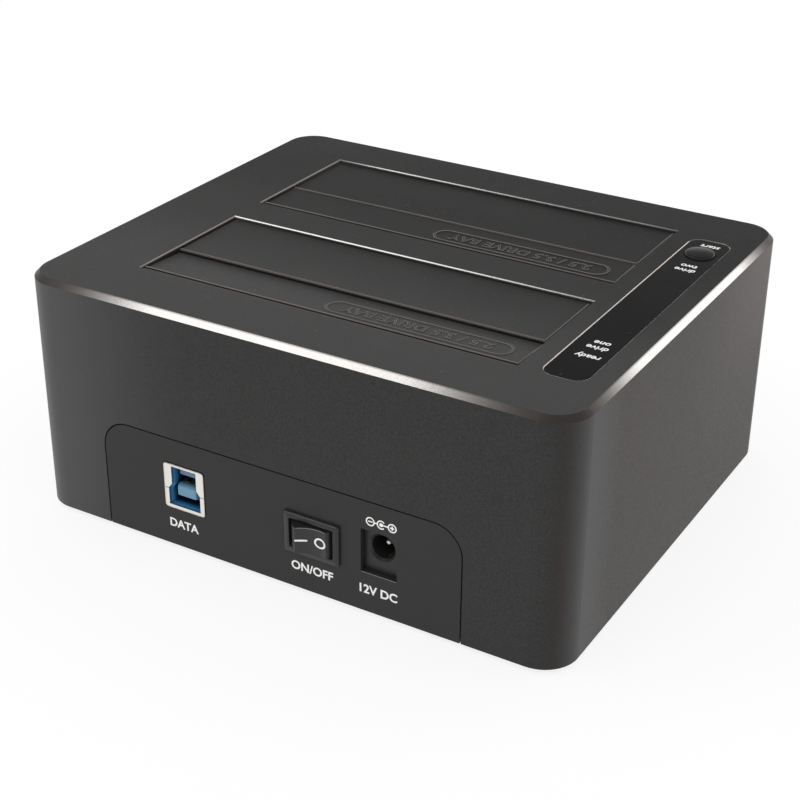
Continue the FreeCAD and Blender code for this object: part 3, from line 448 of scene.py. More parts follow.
def makePortBlue(name, colour, fade):
    # blue moulding with painted shade: it darkens with depth inside the shell
    lit, left = 0.9, 0.10                 # depth where the painted shade starts, and what is left of the colour
    material, tree, shader = newMaterial(name, Specular_IOR_Level=0.5)
    surface = useGroup(tree, mouldGrain, Color=(*colour, 1), Grain=1400.0, Mottle=0.07)
    y = split(tree, coords(tree))[1]
    deep = remap(tree, y, rearY - lit * mm, rearY - fade * mm)
    depthShade = tuple(left * part for part in colour)
    setColour(tree, shader, mixColours(tree, deep, surface["Color"], (*depthShade, 1)))
    setRoughness(tree, shader, surface, 0.28, 0.38)
    addBump(tree, shader, surface["Height"], 0.08, 0.03)
    return material


def makeLensGloss():
    material, tree, shader = newMaterial("lensGloss", Specular_IOR_Level=0.18)
    surface = useGroup(tree, mouldGrain, Color=(0.0075, 0.0075, 0.0078, 1), Grain=400.0, Mottle=0.05)
    dusted = useGroup(tree, dustVeil, Color=surface["Color"], Amount=0.02)
    setColour(tree, shader, dusted["Color"])
    setRoughness(tree, shader, surface, 0.10, 0.16, (0.2, 0.8))
    addBump(tree, shader, surface["Height"], 0.02, 0.02)
    return material


def makeBoardGreen():
    material, tree, shader = newMaterial("boardGreen", Roughness=0.35)
    pattern = {"Vector": coords(tree), "Scale": 260.0, "Mortar Size": 0.012, "Color1": (0.010, 0.075, 0.030, 1),
               "Color2": (0.012, 0.090, 0.036, 1), "Mortar": (0.020, 0.150, 0.060, 1)}
    tracks = addNode(tree, "TexBrick", pattern)
    surface = useGroup(tree, mouldGrain, Color=tracks.outputs[0], Grain=1500.0, Mottle=0.06)
    setColour(tree, shader, surface["Color"])
    addBump(tree, shader, tracks.outputs[1], 0.15, 0.03)
    return material


def makeRibbonGrey():
    material, tree, shader = newMaterial("ribbonGrey", Roughness=0.5)
    wave = addNode(tree, "TexWave", {"Vector": coords(tree), "Scale": 130.0, "Distortion": 0.0},
                   wave_type="BANDS", bands_direction="Y")
    colour = mixColours(tree, wave.outputs[1], (0.20, 0.20, 0.20, 1), (0.34, 0.34, 0.34, 1))
    surface = useGroup(tree, mouldGrain, Color=colour, Grain=1200.0, Mottle=0.05)
    setColour(tree, shader, surface["Color"])
    addBump(tree, shader, wave.outputs[1], 0.4, 0.2)
    return material


def makeLedClear():
    material, tree, shader = newMaterial("ledClear", Roughness=0.12, IOR=1.5)
    surface = useGroup(tree, mouldGrain, Color=(0.55, 0.58, 0.56, 1), Grain=900.0, Mottle=0.08)
    setColour(tree, shader, surface["Color"])
    addBump(tree, shader, surface["Height"], 0.05, 0.02)
    return material


materials = {
    "housing_plastic": makeHousingPlastic(),
    "base_plastic": grainedPlastic("basePlastic", (0.036, 0.0355, 0.035), 0.42, spec=0.2),
    "flap_plastic": makeFlapPlastic(),
    "frame_plastic": grainedPlastic("framePlastic", (0.020, 0.020, 0.020), 0.5),
    "foot_rubber": grainedPlastic("footRubber", (0.012, 0.012, 0.012), 0.75, grain=1800.0, bump=0.35, dust=0.1),
    "screw_steel": plainMetal("screwSteel", (0.55, 0.54, 0.52), 0.32),
    "pin_steel": plainMetal("pinSteel", (0.62, 0.61, 0.60), 0.25, stretch=(8.0, 1.0, 1.0)),
    "spring_steel": plainMetal("springSteel", (0.42, 0.41, 0.40), 0.28),
    "lens_gloss": makeLensGloss(),
    "button_plastic": grainedPlastic("buttonPlastic", (0.016, 0.0155, 0.015), 0.30, grain=1200.0, bump=0.05,
                                     spec=0.45),
    "board_green": makeBoardGreen(),
    "chip_black": grainedPlastic("chipBlack", (0.015, 0.015, 0.016), 0.55, grain=1800.0),
    "can_aluminium": plainMetal("canAluminium", (0.70, 0.70, 0.71), 0.30, stretch=(1.0, 1.0, 6.0)),
    "coil_ferrite": grainedPlastic("coilFerrite", (0.045, 0.042, 0.040), 0.6, grain=900.0),
    "led_clear": makeLedClear(),
    "ribbon_grey": makeRibbonGrey(),
    "header_white": grainedPlastic("headerWhite", (0.62, 0.60, 0.55), 0.45, grain=1500.0, mottle=0.04),
    "socket_black": grainedPlastic("socketBlack", (0.014, 0.014, 0.014), 0.42),
    "contact_gold": plainMetal("contactGold", (0.83, 0.60, 0.26), 0.24),
    "port_nickel": plainMetal("portNickel", (0.80, 0.77, 0.72), 0.34, scale=700.0, variation=0.10),
    "port_blue": makePortBlue("portBlue", (0.048, 0.25, 0.52), 3.2),
    "tongue_blue": makePortBlue("tongueBlue", (0.18, 0.38, 0.55), 3.0),
    "jack_black": grainedPlastic("jackBlack", (0.020, 0.020, 0.020), 0.40, spec=0.4),
    "switch_black": grainedPlastic("switchBlack", (0.018, 0.018, 0.018), 0.36, grain=2000.0, bump=0.1, spec=0.45),
    # the print glows a little: painted light that makes it brighter than lit white
    "label_white": grainedPlastic("labelWhiteGlow", (0.92, 0.92, 0.91), 0.5, grain=1800.0, mottle=0.03, bump=0.05,
                                  dust=0.0, glow=0.22),
    "edge_glint": glintPaint("edgeGlint", (0.20, 0.172, 0.158)),
    "grey_glint": glintPaint("greyGlint", (0.26, 0.25, 0.245)),
    "slot_glint": glintPaint("slotGlint", (0.42, 0.37, 0.35), 0.3),
    "mark_glint": glintPaint("markGlint", (0.30, 0.27, 0.255)),
    "trim_bright": plainMetal("trimBright", (0.62, 0.55, 0.52), 0.28, stretch=(1.0, 1.0, 1.0)),
    "rocker_black": grainedPlastic("rockerBlack", (0.020, 0.020, 0.020), 0.34, grain=2000.0, bump=0.08, spec=0.45),
}

for node in nodes.values():
    for held in node.material_slots:
        held.material = materials[held.material.name.split(".")[0]]
print("materials set")


# piece helpers

def addObject(name, data):
    added = bpy.data.objects.new(name, data)
    bpy.context.scene.collection.objects.link(added)
    return added


def toMesh(bm, name):
    mesh = bpy.data.meshes.new(name)
    bm.to_mesh(mesh)
    bm.free()
    return mesh


def addPiece(name, meshes, slotName, body="housing", hides=(), angle=40.0):
    # joins meshes into one piece that rides on a body and may stand in for nodes
    mesh = joinMeshes(name, meshes)
    piece = addObject(name, mesh)
    mesh.materials.clear()
    mesh.materials.append(materials[slotName])
    mesh.shade_smooth()
    mesh.set_sharp_from_angle(angle=math.radians(angle))
    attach(piece, body)
    if hides:
        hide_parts(*hides)


def joinMeshes(name, meshes):
    bm = bmesh.new()
    for mesh in meshes:
        bm.from_mesh(mesh)
        bpy.data.meshes.remove(mesh)
    return toMesh(bm, name)


def finishMesh(bm, place=None):
    if place:
        bmesh.ops.transform(bm, matrix=place, verts=bm.verts)
    bmesh.ops.remove_doubles(bm, verts=bm.verts, dist=1e-7)
    bmesh.ops.recalc_face_normals(bm, faces=bm.faces)
    return toMesh(bm, "shape")


def shift(x, y, z):
    return Matrix.Translation((x * mm, y * mm, z * mm))


def roundedOutline(cx, cy, sizeX, sizeY, radius, steps=6):
    points = []
    for quarter, (sx, sy) in enumerate(((1, 1), (-1, 1), (-1, -1), (1, -1))):
        for k in range(steps + 1):
            a = math.radians(90 * quarter + 90 * k / steps)
            points.append((cx + sx * (sizeX / 2 - radius) + radius * math.cos(a),
                           cy + sy * (sizeY / 2 - radius) + radius * math.sin(a)))
    return points


def ringOutline(cx, cy, radius, count=48, start=0.0, span=360.0):
    angles = [math.radians(start + span * k / count) for k in range(count)]
    return [(cx + radius * math.cos(a), cy + radius * math.sin(a)) for a in angles]


def bakeCurve(curve, place):
    # turns a filled curve or a text into a mesh set in place
    holder = addObject(curve.name, curve)
    shown = holder.evaluated_get(bpy.context.evaluated_depsgraph_get())
    mesh = bpy.data.meshes.new_from_object(shown)
    bpy.data.objects.remove(holder)
    mesh.transform(place)
    return mesh


def plateMesh(outlines, thickness, place, bevel=0.0):
    # flat plate through the outlines, the later ones being holes, with softened edges
    curve = bpy.data.curves.new("plate", "CURVE")
    curve.dimensions = "2D"
    curve.fill_mode = "BOTH"
    for points in outlines:
        spline = curve.splines.new("POLY")
        spline.points.add(len(points) - 1)
        for knot, (x, y) in zip(spline.points, points):
            knot.co = (x * mm, y * mm, 0, 1)
        spline.use_cyclic_u = True
    curve.extrude = (thickness / 2 - bevel) * mm
    curve.bevel_depth = bevel * mm
    curve.bevel_resolution = 1
    curve.offset = -bevel * mm
    return bakeCurve(curve, place)


def textMesh(words, size, thickness, place, weight=0.0, spacing=1.0, lean=0.0):
    text = bpy.data.curves.new("text", "FONT")
    text.body = words
    text.size = size * mm
    text.align_x = "CENTER"
    text.align_y = "CENTER"
    text.extrude = thickness / 2 * mm
    text.offset = weight * mm
    text.space_character = spacing
    text.shear = lean
    text.resolution_u = 4
    return bakeCurve(text, place)


def skinRows(sections):
    # skin through a row of closed outlines with equal numbers of points, each (points, depth)
    bm = bmesh.new()
    rings = [[bm.verts.new((x * mm, y * mm, depth * mm)) for x, y in points] for points, depth in sections]
    count = len(rings[0])
    for a, b in zip(rings, rings[1:]):
        for k in range(count):
            bm.faces.new((a[k], a[(k + 1) % count], b[(k + 1) % count], b[k]))
    return bm, rings


def latheMesh(profile, cx, cy, segments=48, place=None):
    # turns (radius, height) points round an upright axis
    bm = bmesh.new()
    rings = []
    for radius, height in profile:
        outline = [(cx, cy)] if radius < 1e-6 else ringOutline(cx, cy, radius, segments)
        rings.append([bm.verts.new((x * mm, y * mm, height * mm)) for x, y in outline])
    for a, b in zip(rings, rings[1:]):
        for k in range(segments):
            corners = [a[k % len(a)], a[(k + 1) % len(a)], b[(k + 1) % len(b)], b[k % len(b)]]
            unique = list(dict.fromkeys(corners))
            if len(unique) > 2:
                bm.faces.new(unique)
    return finishMesh(bm, place)


def boxMesh(low, high, soft=0.0, place=None):
    # bar with softened edges
    bm = bmesh.new()
    bmesh.ops.create_cube(bm, size=1.0)
    for v in bm.verts:
        v.co = Vector([(a + b) / 2 * mm + c * (b - a) * mm for a, b, c in zip(low, high, v.co)])
    if soft:
        bmesh.ops.bevel(bm, geom=bm.edges, offset=soft * mm, segments=2, profile=0.6, affect="EDGES")
    return finishMesh(bm, place)


# local X to the left, local Y up and local Z outward on the socket side
rearTurn = Matrix(((-1, 0, 0, 0), (0, 0, 1, 0), (0, 1, 0, 0), (0, 0, 0, 1)))


def onRear(x, z, out):
    return Matrix.Translation((x * mm, rearY + out * mm, z * mm)) @ rearTurn


def onRoof(x, y, z):
    return Matrix.Translation((x * mm, middleY + y * mm, z * mm))


# data port

dataPort = {
    "middle": 28.0, "foot": 12.2, "width": 12.1, "height": 12.6, "depth": 17.0, "proud": 0.3,
    "corner": 0.8, "sheet": 0.35, "soft": 0.08, "backWall": 0.3,
    # folded lips that close the mouth down to a stepped opening
    "bottomLip": 0.75, "topLip": 0.45, "lip": 1.3, "shoulder": 2.3, "waist": 5.4, "seam": 0.16, "step": 0.5,
    "lipStart": 0.6, "lipBack": 0.28, "barBack": 0.22, "lipSoft": 0.06,         # lipStart: share of the sheet
}


def makeDataPort():
    d = dataPort
    w, h, sheet, soft = d["width"], d["height"], d["sheet"], d["soft"]
    place = onRear(d["middle"], d["foot"] + h / 2, d["proud"])
    outer = roundedOutline(0, 0, w, h, d["corner"])
    softened = roundedOutline(0, 0, w - 2 * soft, h - 2 * soft, d["corner"] - soft)
    inner = roundedOutline(0, 0, w - 2 * sheet, h - 2 * sheet, d["corner"] - sheet)
    back = (inner, d["backWall"] - d["depth"])
    bm, rings = skinRows([back, (inner, -sheet), (softened, 0.0), (outer, -soft), (outer, -d["depth"]), back])
    bm.faces.new(rings[0])
    parts = [finishMesh(bm, place)]

    half = w / 2 - sheet * d["lipStart"]
    low = -h / 2 + sheet * d["lipStart"]
    high = -low
    waist = -h / 2 + d["waist"]
    lipX, shoulderX = w / 2 - d["lip"], w / 2 - d["shoulder"]
    stepY = waist + d["shoulder"] - d["lip"] + d["step"]
    lower = [(half, low), (half, waist), (lipX, waist), (lipX, low)]
    upper = [(half, waist + d["seam"]), (half, high), (shoulderX, high), (shoulderX, stepY),
             (lipX, waist + d["seam"])]
    for side in (-1, 1):
        for outline in (lower, upper):
            flat = [(side * x, y) for x, y in outline]
            parts.append(plateMesh([flat[::side]], sheet, place @ shift(0, 0, -d["lipBack"]), d["lipSoft"]))
    for y0, y1 in ((low, low + d["bottomLip"]), (high - d["topLip"], high)):
        bar = [(-half, y0), (half, y0), (half, y1), (-half, y1)]
        parts.append(plateMesh([bar], sheet, place @ shift(0, 0, -d["barBack"]), d["lipSoft"]))
    addPiece("dataPortShell", parts, "port_nickel", hides=["data_port_shell"])
    makePortInsert(place)
    makePortContacts(place)


portInsert = {
    "gap": 0.37, "corner": 0.4,           # gap all round, to the inside of the shell
    "lip": 0.35, "low": 0.9, "high": 0.75, "ledge": 0.3, "step": 1.3, "mouth": (1.03, 1.02),
    "liningFront": -0.95, "lining": 13.0, "liningSoft": 0.08, "wallAt": -15.0, "wall": 2.0, "wallSoft": 0.05,
    # middle height, width, height, corner
    "tongue": (-1.35, 6.3, 3.4, 0.5), "nose": (-1.4, 5.5, 2.6, 0.35), "tongueDepths": (-14.0, -1.9, -1.15),
    "shelf": ((-2.4, 3.0, -14.0), (2.4, 4.3, -1.9)), "shelfSoft": 0.12,
}

portContacts = {
    # half width, back, front and softness of the wide and the fine ones
    "sheet": 0.18, "wide": (0.5, -11.0, -3.0, 0.05), "fine": (0.2, -10.0, -2.6, 0.04),
    "wideX": (-1.25, 1.25), "wideY": (0.28, -3.16),
    "count": 5, "pitch": 0.9, "fineY": 2.84,
}


def makePortInsert(place):
    # blue moulding: a stepped lining, the main tongue with a bevelled nose, and a thin shelf above it
    d = portInsert
    w, h = dataPort["width"], dataPort["height"]
    wide = w / 2 - dataPort["lip"] - d["lip"]
    narrow = w / 2 - dataPort["shoulder"] - d["lip"]
    low, high, waist = -h / 2 + d["low"], h / 2 - d["high"], -h / 2 + dataPort["waist"] - d["ledge"]
    room = [(wide, low), (wide, waist), (narrow, waist + d["step"]), (narrow, high)]
    room = room + [(-x, y) for x, y in reversed(room)]
    mouth = [(x * d["mouth"][0], y * d["mouth"][1]) for x, y in room]
    block = roundedOutline(0, 0, w - 2 * d["gap"], h - 2 * d["gap"], d["corner"], 1)
    block = block[-1:] + block[:-1]       # starts at the same corner as the mouth
    liningAt = d["liningFront"] - d["lining"] / 2
    parts = [plateMesh([block, mouth], d["lining"], place @ shift(0, 0, liningAt), d["liningSoft"]),
             plateMesh([block], d["wall"], place @ shift(0, 0, d["wallAt"]), d["wallSoft"])]

    tongue, nose = [roundedOutline(0, *d[name], 3) for name in ("tongue", "nose")]
    root, bend, tip = d["tongueDepths"]
    bm, rings = skinRows([(tongue, root), (tongue, bend), (nose, tip)])
    bm.faces.new(rings[-1])
    tongues = [finishMesh(bm, place), boxMesh(*d["shelf"], d["shelfSoft"], place)]
    addPiece("dataPortTongue", tongues, "tongue_blue")
    addPiece("dataPortInsert", parts, "port_blue", hides=["data_port_insert"])


def makePortContacts(place):
    d = portContacts

    def strip(x, y, half, back, front, soft):
        return boxMesh((x - half, y, back), (x + half, y + d["sheet"], front), soft, place)

    strips = [strip(x, y, *d["wide"]) for x in d["wideX"] for y in d["wideY"]]
    strips += [strip((n - d["count"] // 2) * d["pitch"], d["fineY"], *d["fine"]) for n in range(d["count"])]
    addPiece("dataPortContacts", strips, "contact_gold", hides=["data_port_contacts"])


makeDataPort()
print("data port made")


# power switch

powerSwitch = {
    "middle": -9.8, "height": 17.0,
    "bezel": (15.6, 11.2), "frame": 1.7, "proud": 0.9, "bevel": 0.3, "lipBevel": 0.15, "lipDrop": 0.2,
    "corners": (0.5, 0.35, 0.35, 0.25), "wellDepth": 6.0,
    "bodyInset": 1.0, "bodyGap": 0.1, "bodyDepth": 11.0, "bodySoft": 0.3,
    "glintLow": (0.5, -0.42, -0.2), "glintHigh": (-0.6, -0.22, -0.02),      # from the frame's upper corners
}

rocker = {
    "axis": -1.6, "tilt": 13.0,
    "reach": 5.8, "crest": 3.3, "rise": 1.0, "halfHeight": 3.6, "end": 3.89,           # end: half the face's width
    "backX": 0.8, "backY": -1.4, "rimSoft": 0.22,
    "markAt": (2.45, -2.3), "dash": (1.45, 0.19), "dashSteps": 10, "ring": (1.4, 0.98), "ringStretch": 1.12,
    "film": 0.1, "lift": 0.02,
    "glintShare": 0.95, "glintSteps": 22,
    "glint": ((0.03, 3.3), (0.03, 3.44), (-0.1, 3.44), (-0.1, 3.3)),        # out from the face, height
}


def rockerSide(steps=14):
    # the rocker seen from above, its dished face outward
    d = rocker
    reach = d["reach"]
    tip = d["crest"] + d["rise"]
    end = math.sqrt(reach ** 2 - tip ** 2)
    points = []
    for k in range(steps + 1):
        x = end - 2 * end * k / steps
        points.append((x, d["crest"] + d["rise"] * (x / end) ** 2))
    low, high = math.atan2(tip, -end), math.atan2(tip, end)
    turned = [low + (math.pi - low) * k / steps for k in range(1, steps + 1)]
    points += [(reach * math.cos(a), reach * math.sin(a)) for a in turned]
    points += [(d["backX"] - reach, d["backY"]), (reach - d["backX"], d["backY"])]
    turned = [high * k / steps for k in range(steps)]
    points += [(reach * math.cos(a), reach * math.sin(a)) for a in turned]
    return points


def rockerFace(x):
    return rocker["crest"] + rocker["rise"] * (x / rocker["end"]) ** 2


def makeBezel(place):
    d = powerSwitch
    w, h = d["bezel"]
    proud, frameW, frameH = d["proud"], w - 2 * d["frame"], h - 2 * d["frame"]
    sizes = ((w, h), (w - 2 * d["bevel"], h - 2 * d["bevel"]),
             (frameW + 2 * d["lipBevel"], frameH + 2 * d["lipBevel"]), (frameW, frameH))
    wide, slim, lip, well = [roundedOutline(0, 0, *size, corner) for size, corner in zip(sizes, d["corners"])]
    bm, rings = skinRows([(wide, 0.0), (wide, proud - d["bevel"]), (slim, proud), (lip, proud),
                          (well, proud - d["lipDrop"]), (well, -d["wellDepth"])])
    bm.faces.new(rings[-1])
    inset = d["bodyInset"]
    body = boxMesh((-w / 2 + inset, -h / 2 + inset, -d["bodyDepth"]),
                   (w / 2 - inset, h / 2 - inset, -d["wellDepth"] - d["bodyGap"]), d["bodySoft"], place)
    addPiece("switchBody", [finishMesh(bm, place), body], "switch_black", hides=["switch_body"], angle=50)


def makeRocker(turn):
    d = rocker
    side = rockerSide()
    bm, rings = skinRows([(side, -d["halfHeight"]), (side, d["halfHeight"])])
    for ring in rings:
        bm.faces.new(ring)
    rim = [e for e in bm.edges if abs(e.verts[0].co.z - e.verts[1].co.z) < 1e-6]
    bmesh.ops.bevel(bm, geom=rim, offset=d["rimSoft"] * mm, segments=3, profile=0.6, affect="EDGES")
    addPiece("switchRocker", [finishMesh(bm, turn)], "rocker_black", "rocker_body", ["switch_rocker"], angle=35)


def makeRockerMarks(turn):
    # a dash and a ring that lie on the dished face
    d = rocker
    (halfX, halfY), steps = d["dash"], d["dashSteps"]
    across = [-halfX + 2 * halfX * k / steps for k in range(steps + 1)]
    dash = [(x, -halfY) for x in across] + [(-x, halfY) for x in across]
    ring = [[(d["ringStretch"] * x, y) for x, y in ringOutline(0, 0, radius)] for radius in d["ring"]]
    printed = []
    for at, outlines in zip(d["markAt"], ([dash], ring)):
        mark = plateMesh(outlines, d["film"], shift(at, 0, 0) @ rearTurn)
        for v in mark.vertices:
            v.co.y += (rockerFace(v.co.x / mm) + d["lift"]) * mm
        mark.transform(turn)
        printed.append(mark)
    addPiece("rockerMarks", printed, "label_white", "rocker_body")


def makeRockerGlint(turn):
    # painted highlight: a light line along the upper edge of the dished face
    d = rocker
    half = d["glintSteps"] // 2
    bm = bmesh.new()
    rows = []
    for k in range(-half, half + 1):
        x = k * d["end"] * d["glintShare"] / half
        rows.append([bm.verts.new((x * mm, (rockerFace(x) + out) * mm, z * mm)) for out, z in d["glint"]])
    for a, b in zip(rows, rows[1:]):
        for k in range(4):
            bm.faces.new((a[k], a[k - 3], b[k - 3], b[k]))
    bm.faces.new(rows[0])
    bm.faces.new(rows[-1])
    addPiece("rockerGlint", [finishMesh(bm, turn)], "grey_glint", "rocker_body")


def makeSwitchGlint(place):
    # painted highlight: a light line along the bezel's top edge
    d = powerSwitch
    w, h = d["bezel"]
    (x0, y0, z0), (x1, y1, z1) = d["glintLow"], d["glintHigh"]
    line = boxMesh((-w / 2 + x0, h / 2 + y0, d["proud"] + z0),
                   (w / 2 + x1, h / 2 + y1, d["proud"] + z1), 0.04, place)
    addPiece("switchGlint", [line], "grey_glint")


switchPlace = onRear(powerSwitch["middle"], powerSwitch["height"], 0)
rockerAxis = shift(powerSwitch["middle"], rearY / mm + rocker["axis"], powerSwitch["height"])
rockerTurn = rockerAxis @ Matrix.Rotation(math.radians(rocker["tilt"]), 4, "Z")
makeBezel(switchPlace)
makeRocker(rockerTurn)
makeRockerMarks(rockerTurn)
makeRockerGlint(rockerTurn)
makeSwitchGlint(switchPlace)
print("switch made")


# power jack

powerJack = {
    "middle": -28.2, "boreAt": 19.2, "face": -1.6,
    "pin": ((0, -2.6), (0.35, -2.63), (0.65, -2.8), (0.85, -3.15), (0.85, -10.5)),         # radius, depth
    "leaf": ((-3.02, -9.0), (-2.95, -4.0), (-2.5, -1.8), (-2.7, -1.1), (-3.0, -0.8)),      # height, depth
    "leafX": (-1.0, -0.5, 0.5, 1.0), "leafSheet": 0.15, "leafTurn": 46.0, "leafScale": 0.9,
    "sillOver": 0.1, "sillY": (-0.16, -0.01), "sillZ": (-0.2, -0.07),
}


def makePowerJack():
    d = powerJack
    place = onRear(d["middle"], d["boreAt"], d["face"])
    addPiece("jackPin", [latheMesh(d["pin"], 0, 0, 32, place)], "pin_steel", hides=["power_jack_pin"])

    bm = bmesh.new()
    rows = [[bm.verts.new((x * mm, y * mm, depth * mm)) for x in d["leafX"]] for y, depth in d["leaf"]]
    for a, b in zip(rows, rows[1:]):
        for k in range(3):
            bm.faces.new((a[k], a[k + 1], b[k + 1], b[k]))
    bmesh.ops.solidify(bm, geom=bm.faces[:], thickness=d["leafSheet"] * mm)
    turn = Matrix.Rotation(math.radians(d["leafTurn"]), 4, "Z") @ Matrix.Scale(d["leafScale"], 4)
    addPiece("jackLeaf", [finishMesh(bm, place @ turn)], "contact_gold", hides=["power_jack_leaf"])

    # painted highlight: a light line along the window's lower rim
    low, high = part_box("power_jack_body")
    over, (y0, y1), (z0, z1) = d["sillOver"], d["sillY"], d["sillZ"]
    sill = boxMesh((low.x / mm - over, rearY / mm + y0, low.z / mm + z0),
                   (high.x / mm + over, rearY / mm + y1, low.z / mm + z1), 0.03)
    addPiece("jackGlint", [sill], "grey_glint")


makePowerJack()
print("jack made")


# printed words and signs on the socket side and the strip

labels = {
    "size": 3.3, "film": 0.03, "lift": 0.01, "weight": 0.075,
    "rear": (("DATA", 28.9, 7.6), ("ON/OFF", -9.5, 7.4), ("12V DC", -27.9, 7.4)),
    "signAt": (-28.9, 26.6), "signPitch": 2.95, "signRadius": 1.2, "signLine": 0.32, "signArc": (40.0, 280.0),
    "signDot": 0.5, "signBar": 1.2, "signOverlap": 0.1, "signInset": 0.4,
    "stripSize": 2.7, "stripWeight": 0.05, "stripLean": 0.12,
    "strip": (("ready", -64.2, 33.0), ("drive", -64.2, 28.0), ("one", -64.2, 25.2), ("drive", -64.2, -24.2),
              ("two", -64.2, -27.0), ("start", -64.2, -41.6)),
}


def makeSigns(place):
    # polarity sign: minus in a ring, an open ring round a dot, and plus in a ring
    d = labels
    radius, line, pitch = d["signRadius"], d["signLine"], d["signPitch"]
    long, lap = d["signBar"], d["signOverlap"]

    def ring(cx):
        return [ringOutline(cx, 0, radius), ringOutline(cx, 0, radius - line)]

    def arc(*angles):
        return [ringOutline(0, 0, radius, 40, *angles) + ringOutline(0, 0, radius - line, 40, *angles)[::-1]]

    def bar(x, w, h):
        return [[(x - w / 2, -h / 2), (x + w / 2, -h / 2), (x + w / 2, h / 2), (x - w / 2, h / 2)]]

    signs = [ring(-pitch), ring(pitch), arc(*d["signArc"]), [ringOutline(0, 0, d["signDot"], 24)],
             bar(-pitch, long, line), bar(pitch, long, line), bar(pitch, line, long),
             bar(-pitch / 2, pitch - 2 * radius + lap, line),
             bar(pitch / 2 - d["signInset"], pitch - radius + lap, line)]
    return [plateMesh(sign, d["film"], place) for sign in signs]


def makeLabels():
    d = labels
    lift = d["lift"]
    parts = [textMesh(words, d["size"], d["film"], onRear(x, z, lift), d["weight"]) for words, x, z in d["rear"]]
    parts += makeSigns(onRear(*d["signAt"], lift))
    addPiece("rearPrint", parts, "label_white")
    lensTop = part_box("indicator_lens")[1].z / mm
    words = [textMesh(text, d["stripSize"], d["film"], onRoof(x, y, lensTop + lift), d["stripWeight"],
                      lean=d["stripLean"]) for text, x, y in d["strip"]]
    addPiece("stripPrint", words, "label_white")


makeLabels()
print("labels made")


# raised capsule and painted highlight lines along the flaps' edges

capsule = {
    "length": 50.0, "width": 7.2, "middle": -23.0, "inset": 6.6, "ridge": 0.6, "rise": 0.26, "under": 0.06,
    "spread": -0.13, "textSize": 4.5, "textWeight": 0.07, "textSpacing": 1.06, "words": "2.5 / 3.5 DRIVE BAY",
    "flapTop": 65.37, "hinge": (1.5, 61.4), "droop": {"rear": 3.0, "front": 0.0},
}

flapLines = {
    "half": 52.0, "longSoft": 0.06,
    "ledgeY": (0.72, 0.36), "ledgeZ": (65.2, 65.68), "ledgeSoft": 0.03,
    "hingeY": (0.74, 0.38), "hingeZ": (65.66, 65.9), "hingeEnd": 0.6,
    "freeY": 0.3, "freeZ": (65.3, 65.58),
    "endX": (-52.05, -51.8), "endZ": (65.3, 65.52), "endIn": 0.5, "endSoft": 0.05,
}


def softBar(xs, ys, zs, soft, place=None):
    return boxMesh((xs[0], ys[0], zs[0]), (xs[1], ys[1], zs[1]), soft, place)


def makeCapsule(name, droop):
    d, f = capsule, flapLines
    low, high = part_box("narrow_flap_" + name)
    edge = (high.y - middleY) / mm                       # hinged edge, toward the socket side
    inner = (low.y - middleY) / mm
    back, height = d["hinge"]
    hinge = Matrix.Translation((0, middleY + (edge - back) * mm, height * mm))
    turn = hinge @ Matrix.Rotation(math.radians(droop), 4, "X") @ hinge.inverted()
    place = turn @ onRoof(d["middle"], edge - d["inset"], d["flapTop"])
    flat = turn @ Matrix.Translation((0, middleY, 0))
    length, width, ridge = d["length"], d["width"], d["ridge"]
    # a paler lower layer shows as a thin painted highlight round the raised strokes
    layers = []
    for spread, rise in ((0.0, d["rise"] - d["under"]), (d["spread"], d["rise"])):
        outer = roundedOutline(0, 0, length + 2 * spread, width + 2 * spread, width / 2 + spread - 0.01, 12)
        hole = roundedOutline(0, 0, length - 2 * ridge - 2 * spread, width - 2 * ridge - 2 * spread,
                              width / 2 - ridge - spread - 0.01, 12)
        raised = place @ shift(0, 0, rise / 2)
        words = textMesh(d["words"], d["textSize"], rise, raised, d["textWeight"] + spread, d["textSpacing"])
        layers.append([plateMesh([outer, hole], rise, raised, 0.03), words])
    rides = "narrow_flap_" + name + "_body"
    across = (-f["half"], f["half"])
    ledge = softBar(across, [edge - y for y in f["ledgeY"]], f["ledgeZ"], f["ledgeSoft"], flat)
    addPiece("capsuleEdge_" + name, layers[0], "mark_glint", rides)
    addPiece("capsule_" + name, layers[1] + [ledge], "flap_plastic", rides)

    # painted highlights along the flaps' hinged, free and -X edges
    bars = [softBar(across, [edge - y for y in f["hingeY"]], f["hingeZ"], f["longSoft"], flat),
            softBar(f["endX"], (inner + f["endIn"], edge - f["hingeEnd"]), f["endZ"], f["endSoft"], flat)]
    addPiece("narrowGlint_" + name, bars, "edge_glint", rides)
    start, free = [corner.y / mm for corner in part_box("wide_flap_" + name)]
    bars = [softBar(across, (free - f["freeY"], free), f["freeZ"], f["longSoft"]),
            softBar(f["endX"], (start + f["endIn"], free - f["freeY"]), f["endZ"], f["endSoft"])]
    addPiece("wideGlint_" + name, bars, "edge_glint", "wide_flap_" + name + "_body")


slotLines = {"x": (52.62, 52.86), "over": 0.5, "below": (0.3, 0.04), "soft": 0.05}


def makeSlotGlints():
    # painted highlight: a fine bright line along the +X end of each slot
    d = slotLines
    zs = [roofZ / mm - z for z in d["below"]]
    bars = []
    for name in ("rear", "front"):
        low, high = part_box("wide_flap_" + name)[0].y / mm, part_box("narrow_flap_" + name)[1].y / mm
        bars.append(softBar(d["x"], (low - d["over"], high + d["over"]), zs, d["soft"]))
    addPiece("slotGlints", bars, "slot_glint")


for name, droop in capsule["droop"].items():
    makeCapsule(name, droop)
makeSlotGlints()
print("capsules made")


# copy button and the bright edge round the strip

stripTrim = {
    "middle": (-63.6, 0.3), "width": 11.2, "length": 91.0, "radius": 3.4,
    "section": ((0.08, -0.02), (0.05, 0.05), (-0.14, -0.14), (-0.14, -0.5)),      # outward, up from the roof
}

